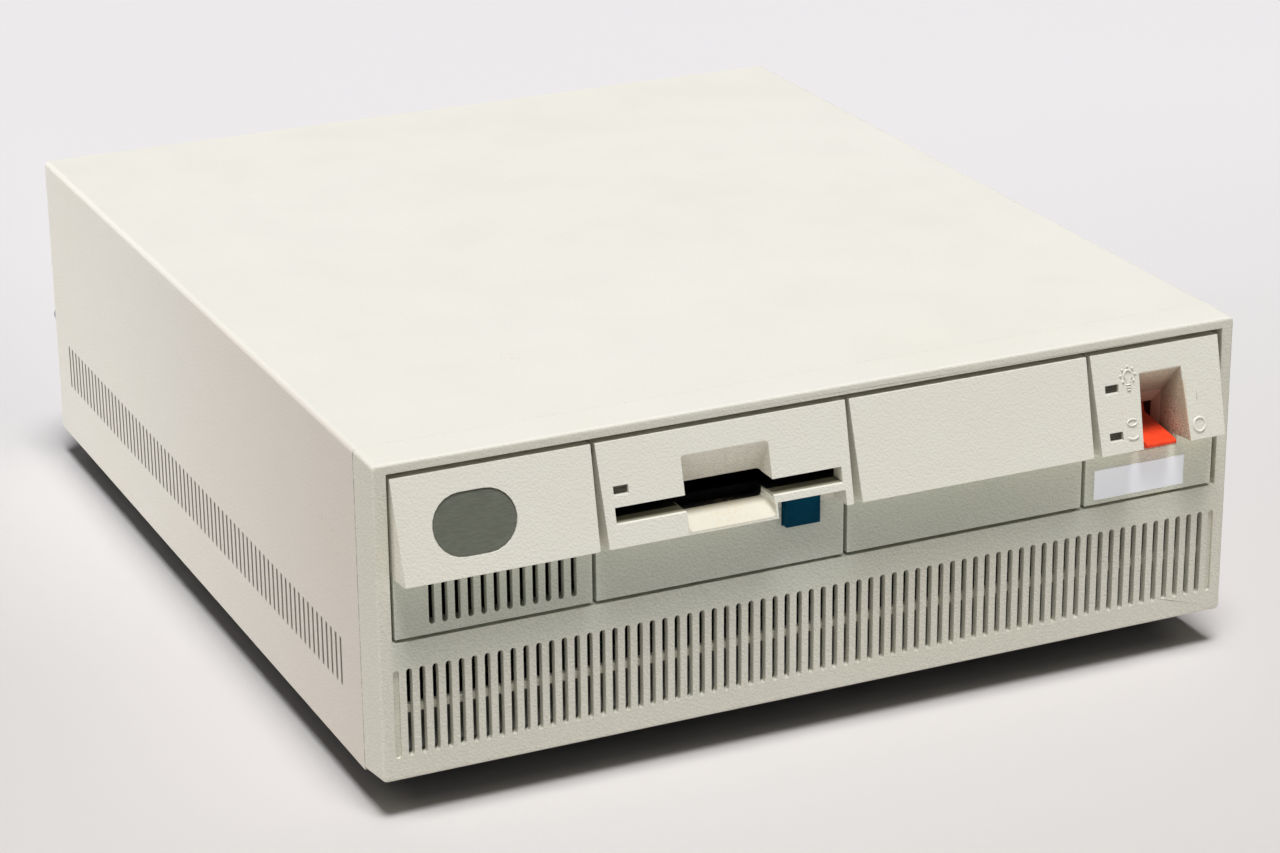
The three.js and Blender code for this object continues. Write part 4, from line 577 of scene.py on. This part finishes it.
materials = {
    "cover": moulded("cover", CREAM, CREAM_AGED, tone=0.3, corner_dirt_and_shade=0.0, more=cover_marks),
    "frame": moulded("frame", FRAME, FRAME_AGED, FRAME_GRIME_AND_SHADE, more=frame_marks),
    "bezel": moulded("bezel", BEZEL, BEZEL_AGED, more=bezel_marks),
    # Painted highlight: the symbols lighter than the bezel they stand on
    "symbol": moulded("symbol", SYMBOL_HIGHLIGHT, BEZEL, rough=0.5, grain=0.00002, tone=0.05),
    "badge": badge_face("badge"),
    "lamp": lamp_window("lamp"),
    "label": film_label("label"),
    "tray": plain_plastic("tray", (0.045, 0.045, 0.042), 0.6, grime_and_shade=0.08, specular=0.15, more=throat_marks),
    "red": plain_plastic(
        "red", (0.95, 0.064, 0.015), 0.5, grime_and_shade=0.03, wear=0.06, specular=0.25, more=paddle_marks,
    ),
    "black": plain_plastic("black", (0.004, 0.004, 0.0045), 0.55, grime_and_shade=0.01, wear=0.04, specular=0.08),
    "sheet": sheet_steel("sheet", (0.56, 0.565, 0.56)),
    "blue": plain_plastic("blue", (0.0012, 0.056, 0.105), 0.5, grime_and_shade=0.0, wear=0.12, specular=0.03),
    "casting": sheet_steel("casting", (0.42, 0.425, 0.43), rough=0.46, spangle=0.1, brush=(1, 8, 1)),
    "board": circuit_board("board", (0.014, 0.085, 0.034)),
    "chip": plain_plastic("chip", (0.018, 0.018, 0.02), 0.5),
    "pan": coated_steel("pan", (0.27, 0.275, 0.265)),
    "rubber": black_rubber("rubber"),
    "cell": warm_metal("cell", (0.45, 0.46, 0.48), 0.34),
    "solder": warm_metal("solder", (0.6, 0.6, 0.6), 0.36),
    "sleeve": plain_plastic("sleeve", (0.012, 0.02, 0.06), 0.3),
    "ceramic": plain_plastic("ceramic", (0.42, 0.19, 0.04), 0.45),
    "brass": warm_metal("brass", (0.62, 0.44, 0.17), 0.3),
}


# CAD nodes: a finish for each, and rounded edges

EDGE_WIDTHS = {
    "top_cover": 0.00025, "front_frame": 0.0003, "fan_bezel": 0.0004, "diskette_bezel": 0.0005,
    "blank_bezel": 0.0006, "switch_bezel": 0.0004, "eject_button": 0.0005, "power_paddle": 0.0004,
    "unit_label": 0.00003, "badge_plate": 0.00015,
}
PLAIN_EDGE = 0.00025

# Nodes with many openings, whose flat faces aren't merged before the edges are rounded
SLOTTED = {
    "top_cover", "front_frame", "fan_bezel", "rear_panel", "supply_case", "fan_housing", "supply_fan_frame",
    "drive_case", "drive_support", "system_board", "switch_housing", "switch_bezel",
}


def round_edges(obj, width, slotted):
    """Rounded edges, with smooth normals that follow the large faces."""
    mesh = obj.data
    if "custom_normal" in mesh.attributes:
        mesh.attributes.remove(mesh.attributes["custom_normal"])
    mesh.polygons.foreach_set("use_smooth", [True] * len(mesh.polygons))
    weld = obj.modifiers.new("weld", "WELD")
    weld.merge_threshold = 0.000002
    if not slotted:
        flatten = obj.modifiers.new("flatten", "DECIMATE")
        flatten.decimate_type = "DISSOLVE"
        flatten.angle_limit = math.radians(0.4)
    bevel = obj.modifiers.new("round", "BEVEL")
    bevel.width = width
    bevel.segments = 2
    bevel.limit_method = "ANGLE"
    bevel.angle_limit = math.radians(38)
    bevel.use_clamp_overlap = True
    bevel.miter_outer = "MITER_ARC"
    even = obj.modifiers.new("even", "WEIGHTED_NORMAL")
    even.mode = "FACE_AREA"
    even.weight = 80


def dress_nodes():
    slots = {s["node"]: s["material_slot"] for s in frame["record"]["subparts"]}
    for name, obj in frame["nodes"].items():
        obj.data.materials.clear()
        obj.data.materials.append(materials[slots[name]])
        round_edges(obj, EDGE_WIDTHS.get(name, PLAIN_EDGE), name in SLOTTED)


# Pieces in mesh code

def put_in_scene(name, data):
    obj = bpy.data.objects.new(name, data)
    bpy.context.scene.collection.objects.link(obj)
    return obj


def on_face(x, z, rise):
    """Point over the slanted face of the front units."""
    y = FRONT - SLOPE * (UNIT_TOP - z)
    return (x, y - math.cos(TILT) * rise, z + math.sin(TILT) * rise)


class Shape:
    """Vertices and faces gathered for one piece."""

    def __init__(self):
        self.verts = []
        self.faces = []

    def skin(self, rings, closed=False):
        """Skin over rings with as many points each, capped at its ends or closed into a loop."""
        first = len(self.verts)
        count = len(rings[0])
        self.verts.extend(tuple(v) for ring in rings for v in ring)
        for r in range(len(rings) if closed else len(rings) - 1):
            a = first + r * count
            b = first + (r + 1) % len(rings) * count
            for i in range(count):
                after = (i + 1) % count
                self.faces.append((a + i, a + after, b + after, b + i))
        if not closed:
            last = first + (len(rings) - 1) * count
            self.faces.append(tuple(first + i for i in reversed(range(count))))
            self.faces.append(tuple(last + i for i in range(count)))

    def turned(self, profile, place, axis, steps):
        """Rings of a given radius and height about an axis through a place."""
        one = axis.yzx
        two = axis.cross(one)
        rings = []
        for radius, height in profile:
            centre = Vector(place) + axis * height
            angles = [2 * math.pi * i / steps for i in range(steps)]
            rings.append([centre + (one * math.cos(a) + two * math.sin(a)) * radius for a in angles])
        self.skin(rings)

    def chamfered(self, low, high, edge):
        """Block with its corners and both ends cut off at a slant."""
        rings = []
        for z, cut in ((low[2], edge), (low[2] + edge, 0.0), (high[2] - edge, 0.0), (high[2], edge)):
            a, b, c, d = low[0] + cut, high[0] - cut, low[1] + cut, high[1] - cut
            rings.append([
                (a + edge, c, z), (b - edge, c, z), (b, c + edge, z), (b, d - edge, z),
                (b - edge, d, z), (a + edge, d, z), (a, d - edge, z), (a, c + edge, z),
            ])
        self.skin(rings)

    def strip(self, path, side, up, width, thick=0.0002):
        """Flat strip bent along a path."""
        half = side * width / 2
        lift = up * thick
        points = [Vector(p) for p in path]
        self.skin([[p - half, p + half, p + half + lift, p - half + lift] for p in points])

    def ridge(self, path, width, height, closed=False):
        """Half-round ridge on the slanted face, along a path of places across it and up it."""
        count = len(path)
        steps = 6
        rings = []
        for i, (u, v) in enumerate(path):
            inner = closed or 0 < i < count - 1
            before = path[i - 1] if i or closed else path[i]
            after = path[(i + 1) % count] if i < count - 1 or closed else path[i]
            run = Vector((after[0] - before[0], after[1] - before[1])).normalized()
            # A ridge that ends tapers there
            share = 1.0 if inner else 0.35
            ring = []
            for k in range(steps + 1):
                angle = math.pi * k / steps
                off = math.cos(angle) * width / 2 * share
                # Both feet sink a little into the face
                rise = math.sin(angle) * share * height if 0 < k < steps else -0.0002
                ring.append(on_face(u - run.y * off, v + run.x * off, rise))
            rings.append(ring)
        self.skin(rings, closed)

    def piece(self, name, body, slot, finish=None):
        """Mesh that rides a body, in its slot's finish or in another."""
        mesh = bpy.data.meshes.new(name)
        mesh.from_pydata(self.verts, [], self.faces)
        work = bmesh.new()
        work.from_mesh(mesh)
        bmesh.ops.recalc_face_normals(work, faces=work.faces)
        work.to_mesh(mesh)
        work.free()
        mesh.materials.append(materials[finish or slot])
        mesh.polygons.foreach_set("use_smooth", [True] * len(mesh.polygons))
        mesh.set_sharp_from_angle(angle=math.radians(35.0))
        obj = put_in_scene(name, mesh)
        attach(obj, body)


# Raised symbols on the switch unit

SYMBOL_RISE = 0.00055


def circle(x, z, radius, squash=1.0, start=0, end=360, steps=28):
    """Points of a circle or of a part of one, between two angles in degrees."""
    count = steps if end - start == 360 else steps + 1
    angles = [math.radians(start + (end - start) * i / steps) for i in range(count)]
    return [(x + radius * math.cos(a), z + radius * squash * math.sin(a)) for a in angles]


def add_lamp_symbol():
    """A lamp with its bulb, neck, rays and threaded base."""
    lamp = Shape()
    x, z = 0.1301, 0.12455
    lamp.ridge(circle(x, z, 0.00175, 1.05, -50, 230, 20), 0.0008, SYMBOL_RISE)
    for side in (-1, 1):
        neck = ((0.00115, 0.0013), (0.0008, 0.0023), (0.00062, 0.0031))
        lamp.ridge([(x + side * out, z - down) for out, down in neck], 0.0006, SYMBOL_RISE * 0.8)
    for k in range(7):
        angle = math.radians(-45 + k * 45)
        ray = [(x + r * math.cos(angle), z + r * math.sin(angle)) for r in (0.0027, 0.0030, 0.0035, 0.0038)]
        lamp.ridge(ray, 0.00105, SYMBOL_RISE * 1.1)
    for k in range(3):
        low = z - 0.0037 - k * 0.00098
        half = 0.0012 - k * 0.00012
        lamp.ridge([(x + half * share, low) for share in (-1, -0.6, 0.6, 1)], 0.00066, SYMBOL_RISE)
    lamp.piece("symbol_lamp", "base", "bezel", "symbol")


def add_disk_symbol():
    """A drum seen from above: its lid, its sides and its lower rim."""
    disk = Shape()
    x, top, low = 0.13, 0.1066, 0.10165
    disk.ridge(circle(x, top, 0.0021, 0.58), 0.0007, SYMBOL_RISE, closed=True)
    disk.ridge(circle(x, low, 0.0023, 0.6, 195, 345, 14), 0.00095, SYMBOL_RISE)
    for side in (-1, 1):
        wall = [(x + side * 0.0022, top - down) for down in (0.0008, 0.0018, 0.0032, 0.0044)]
        disk.ridge(wall, 0.0003, SYMBOL_RISE * 0.35)
    disk.piece("symbol_disk", "base", "bezel", "symbol")


def add_switch_symbols():
    """The bar and the ring to the right of the paddle."""
    bar = Shape()
    bar.ridge([(0.16, z) for z in (0.1168, 0.1164, 0.1112, 0.1108)], 0.0006, SYMBOL_RISE * 0.85)
    bar.piece("symbol_bar", "base", "bezel", "symbol")
    ring = Shape()
    ring.ridge(circle(0.1601, 0.1013, 0.00262), 0.0011, SYMBOL_RISE, closed=True)
    ring.piece("symbol_ring", "base", "bezel", "symbol")


# Rear panel: screws, posts beside the ports, and the guard of the supply's fan

REAR_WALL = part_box("rear_panel")[1][1]

# Profiles of turned parts, as radii and heights over the panel
SCREW_HEAD = (
    (0.0030, 0.0), (0.0031, 0.0003), (0.0028, 0.0011), (0.0019, 0.0017), (0.0010, 0.0018), (0.0008, 0.0009),
)
GUARD_SCREW = (
    (0.0032, 0.0), (0.0033, 0.0004), (0.0030, 0.0014), (0.0018, 0.0020), (0.0009, 0.0020), (0.0008, 0.0010),
)
PORT_POST = (
    (0.0018, 0.0), (0.00195, 0.0003), (0.00195, 0.0028), (0.0017, 0.0032), (0.0011, 0.0032), (0.0010, 0.0020),
)


def add_rear_screws():
    screws = Shape()
    places = []
    for k in (1, 2, 3):
        low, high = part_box(f"slot_cover_{k}")
        places.append(((low[0] + high[0]) / 2, 0.1315))
    low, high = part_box("supply_case")
    for x in (low[0] + 0.004, high[0] - 0.004):
        places += [(x, 0.0235), (x, 0.1265)]
    places += [(-0.165, 0.0195), (-0.04, 0.0195), (0.098, 0.0195), (0.098, 0.052)]
    for x, z in places:
        screws.turned(SCREW_HEAD, (x, REAR_WALL, z), BACK, 18)
    screws.piece("rear_screws", "base", "sheet")


def add_port_posts():
    """Hexagonal posts on both sides of each port with a slanted shell."""
    posts = Shape()
    for name in ("video_port", "parallel_port", "serial_port"):
        low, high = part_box(name)
        z = (low[2] + high[2]) / 2
        for x in (low[0] + 0.00065, high[0] - 0.00065):
            posts.turned(PORT_POST, (x, REAR_WALL, z), BACK, 6)
    posts.piece("port_posts", "base", "sheet")


def wire_ring(centre, outward):
    """Eight points round a wire that runs along the panel."""
    radius = 0.0006
    turns = [2 * math.pi * k / 8 for k in range(8)]
    return [centre + (outward * math.cos(a) + BACK * math.sin(a)) * radius for a in turns]


def add_fan_guard():
    """Wire guard over the supply's fan opening: rings held by two crossing wires and four screws."""
    low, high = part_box("supply_fan_frame")
    hub = Vector(((low[0] + high[0]) / 2, REAR_WALL, (low[2] + high[2]) / 2))
    guard = Shape()
    for radius in (0.006, 0.011, 0.016, 0.021):
        rings = []
        for i in range(40):
            angle = 2 * math.pi * i / 40
            spoke = Vector((math.cos(angle), 0, math.sin(angle)))
            rings.append(wire_ring(hub + BACK * 0.0013 + spoke * radius, spoke))
        guard.skin(rings, closed=True)
    # Each crossing wire lies on the rings and comes down to the panel at its ends
    half = ((0.024, 0.0018), (0.0265, 0.0006), (0.029, 0.0005))
    run = [(-length, lift) for length, lift in reversed(half)] + list(half)
    for angle in (math.pi / 4, 3 * math.pi / 4):
        along = Vector((math.cos(angle), 0, math.sin(angle)))
        across = Vector((-along.z, 0, along.x))
        guard.skin([wire_ring(hub + BACK * lift + along * length, across) for length, lift in run])
    for x in (-0.0205, 0.0205):
        for z in (-0.0205, 0.0205):
            guard.turned(GUARD_SCREW, hub + RIGHT * x + UP * z, BACK, 18)
    guard.piece("fan_guard", "base", "sheet", "solder")


# Legs of chips and small parts on the boards

# Small parts reach a little into the board
SUNK = BOARD_FACE - 0.0001

# Places of the system board's chips
LARGE_CHIP_COLUMNS = (0.018, 0.066)
LARGE_CHIP_ROWS = [-0.08425 + 0.024 * k for k in range(6)]
SMALL_CHIPS = [(x, -0.078 + 0.016 * k) for x in (-0.149, -0.121) for k in range(7)]
SMALL_CHIPS += [(-0.06, -0.05 + 0.015 * k) for k in range(4)]
SMALL_CHIPS += [(-0.03, -0.03), (-0.03, -0.012)]


def add_leg_rows(legs, x, y, half, count):
    """Bent legs along both long sides of a chip on the system board."""
    pitch = 0.00254
    bend = ((-0.0001, 0.0021), (0.0008, 0.0020), (0.0012, 0.0015), (0.0012, 0.0))
    for side in (-1, 1):
        for k in range(count):
            at = x + (k - (count - 1) / 2) * pitch
            path = [(at, y + side * (half + out), BOARD_FACE + rise) for out, rise in bend]
            legs.strip(path, RIGHT, UP, 0.0006)


def add_card_legs(legs):
    """Legs on all four sides of the card's three square chips."""
    z = 0.0772
    for chip in range(3):
        y = -0.01005 + 0.06 * chip
        for k in range(20):
            step = (k - 9.5) * 0.0014
            for side in (-1, 1):
                bend = ((0.0013, side * 0.0149), (0.0010, side * 0.0161), (0.0, side * 0.0161))
                upright = [(CARD_FACE - rise, y + step, z + out) for rise, out in bend]
                level = [(CARD_FACE - rise, y + out, z + step) for rise, out in bend]
                legs.strip(upright, BACK, UP * side, 0.0007)
                legs.strip(level, UP, BACK * side, 0.0007)


def add_processor_legs(legs):
    """Legs on all four sides of the processor."""
    low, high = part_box("processor")
    x, y = (low[0] + high[0]) / 2, (low[1] + high[1]) / 2
    for k in range(17):
        step = (k - 8) * 0.0015
        for side in (-1, 1):
            bend = ((side * 0.0138, 0.0022), (side * 0.0148, 0.0018), (side * 0.0148, 0.0))
            legs.strip([(x + out, y + step, BOARD_FACE + rise) for out, rise in bend], BACK, UP, 0.0007)
            legs.strip([(x + step, y + out, BOARD_FACE + rise) for out, rise in bend], RIGHT, UP, 0.0007)


def add_chip_legs():
    legs = Shape()
    for y in LARGE_CHIP_ROWS:
        for x in LARGE_CHIP_COLUMNS:
            add_leg_rows(legs, x, y, half=0.0075, count=12)
    for x, y in SMALL_CHIPS:
        add_leg_rows(legs, x, y, half=0.0033, count=7)
    add_card_legs(legs)
    add_processor_legs(legs)
    legs.piece("chip_legs", "base", "sheet", "solder")


def add_ceramics():
    """Ceramic capacitors beside the chips."""
    discs = Shape()
    for x, y in SMALL_CHIPS:
        discs.chamfered((x + 0.0112, y - 0.0022, SUNK), (x + 0.0132, y + 0.0022, BOARD_FACE + 0.0042), 0.0007)
    for y in LARGE_CHIP_ROWS:
        discs.chamfered((0.0405, y - 0.003, SUNK), (0.0435, y + 0.003, BOARD_FACE + 0.0058), 0.0009)
        discs.chamfered((0.0885, y - 0.0052, SUNK), (0.0908, y + 0.0008, BOARD_FACE + 0.0052), 0.0008)
    discs.piece("board_ceramics", "base", "black", "ceramic")


def add_capacitors():
    """Upright capacitors in three sizes, in groups near the board's edges."""
    large, medium, small = (0.0045, 0.0125), (0.004, 0.011), (0.0035, 0.0095)
    places = (
        (-0.02, -0.116, large), (-0.034, -0.116, large), (-0.048, -0.116, small), (-0.16, -0.122, medium),
        (-0.148, -0.122, medium), (-0.092, -0.02, medium), (-0.092, 0.0, medium),
    )
    cans = Shape()
    for x, y, (radius, height) in places:
        profile = (
            (radius, -0.0001), (radius, 0.0012), (radius * 0.93, 0.0018), (radius, 0.0026),
            (radius, height - 0.0006), (radius * 0.86, height), (radius * 0.8, height - 0.0003),
            (0.0002, height - 0.0003),
        )
        cans.turned(profile, (x, y, BOARD_FACE), UP, 22)
    cans.piece("board_capacitors", "base", "black", "sleeve")


def add_crystals():
    tins = Shape()
    for x, y in ((-0.03, -0.09), (-0.03, -0.06)):
        tins.chamfered((x - 0.0065, y - 0.0022, SUNK), (x + 0.0065, y + 0.0022, BOARD_FACE + 0.0036), 0.0011)
    tins.piece("board_crystals", "base", "sheet", "solder")


def add_packs():
    """Bodies of the small chips, and nine chips on each memory module."""
    packs = Shape()
    for x, y in SMALL_CHIPS:
        low = (x - 0.010, y - 0.0033, BOARD_FACE + 0.0003)
        high = (x + 0.010, y + 0.0033, BOARD_FACE + 0.0036)
        packs.chamfered(low, high, 0.0005)
    for i in (1, 2):
        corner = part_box(f"memory_module_{i}")[0]
        for k in range(9):
            x = corner[0] + 0.005 + k * 0.0089
            low = (x, corner[1] - 0.0012, corner[2] + 0.0055)
            high = (x + 0.0075, corner[1] + 0.0003, corner[2] + 0.0145)
            packs.chamfered(low, high, 0.0003)
    packs.piece("board_packs", "base", "chip")


# Room, lights and camera

def add_floor():
    """Pale floor, painted lighter towards the back, with painted shade on the left and a painted shadow where
    the machine stands.
    """
    t = Tree("floor")
    near = (0.67, 0.638, 0.617)
    far = (0.80, 0.775, 0.772)
    # Painted light: lighter towards the back
    color = t.mix(t.ramp(t.axis("Y"), -0.45, 0.55), near, far)
    # Painted shade on the left, near the machine
    left = t.times(t.ramp(t.axis("X"), -0.06, -0.28), t.ramp(t.axis("Y"), -0.28, 0.02))
    color = t.tint(color, left, (0.87, 0.87, 0.865))
    # Painted shadow where the machine stands
    below = t.times(t.band(t.axis("X"), 0.0, 0.158, 0.03), t.band(t.axis("Y"), 0.0, 0.186, 0.024))
    color = t.tint(color, below, (0.27, 0.28, 0.31))
    cloudy = t.times(t.ramp(t.noise(2.2, 3.0), 0.3, 0.7), 0.03)
    color = t.mix(cloudy, color, (0.6, 0.58, 0.56))
    t.finish(color, 0.9, t.bump(t.noise(240.0, 3.0), 0.0001), specular=0.1)
    mesh = bpy.data.meshes.new("floor")
    half = 9.0
    corners = [(-half, -half, 0), (half, -half, 0), (half, half, 0), (-half, half, 0)]
    mesh.from_pydata(corners, [], [(0, 1, 2, 3)])
    mesh.materials.append(t.material)
    put_in_scene("floor", mesh)


def add_sun(name, source, strength, angle, color):
    """Distant light from a direction."""
    sun = bpy.data.lights.new(name, "SUN")
    sun.energy = strength
    sun.angle = angle
    sun.color = color
    put_in_scene(name, sun).rotation_euler = (-Vector(source)).to_track_quat("-Z", "Y").to_euler()


def add_side_light():
    """Soft light from the left rear, aimed at the rear of the left side."""
    place = Vector((-2.4, 0.62, 0.17))
    target = Vector((-SIDE, 0.21, 0.08))
    light = bpy.data.lights.new("side", "AREA")
    light.shape = "RECTANGLE"
    light.size = 0.3
    light.size_y = 0.2
    light.spread = math.radians(30)
    light.energy = 0.46
    light.color = (1.0, 1.0, 0.99)
    obj = put_in_scene("side", light)
    obj.location = place
    obj.rotation_euler = (target - place).to_track_quat("-Z", "Y").to_euler()


def add_world():
    """Faint even light from all round."""
    world = bpy.data.worlds.new("studio")
    bpy.context.scene.world = world
    world.use_nodes = True
    back = world.node_tree.nodes["Background"]
    back.inputs["Color"].default_value = (0.97, 0.985, 1.0, 1.0)
    back.inputs["Strength"].default_value = 0.045


def add_camera():
    """Long lens from the front left and above, as in the photograph."""
    camera = bpy.data.cameras.new("camera")
    camera.sensor_fit = "HORIZONTAL"
    camera.sensor_width = 36.0
    camera.lens = 101.335
    camera.clip_start = 0.01
    camera.clip_end = 50.0
    obj = put_in_scene("camera", camera)
    obj.location = (-0.583069, -1.3119, 0.608025)
    obj.rotation_euler = [math.radians(angle) for angle in (68.90275, 0.52409, -24.77112)]
    bpy.context.scene.camera = obj


dress_nodes()
add_lamp_symbol()
add_disk_symbol()
add_switch_symbols()
add_rear_screws()
add_port_posts()
add_chip_legs()
add_ceramics()
add_capacitors()
add_crystals()
add_packs()
add_fan_guard()

add_floor()
add_sun("overhead", (-0.05, -0.205, 0.977), strength=3.22, angle=0.36, color=(1.0, 1.01, 1.03))
add_side_light()
add_sun("left", (-0.8, -0.42, 0.3), strength=0.22, angle=1.0, color=(1.0, 0.99, 0.98))
add_world()
add_camera()
bpy.context.scene.view_settings.view_transform = "Standard"
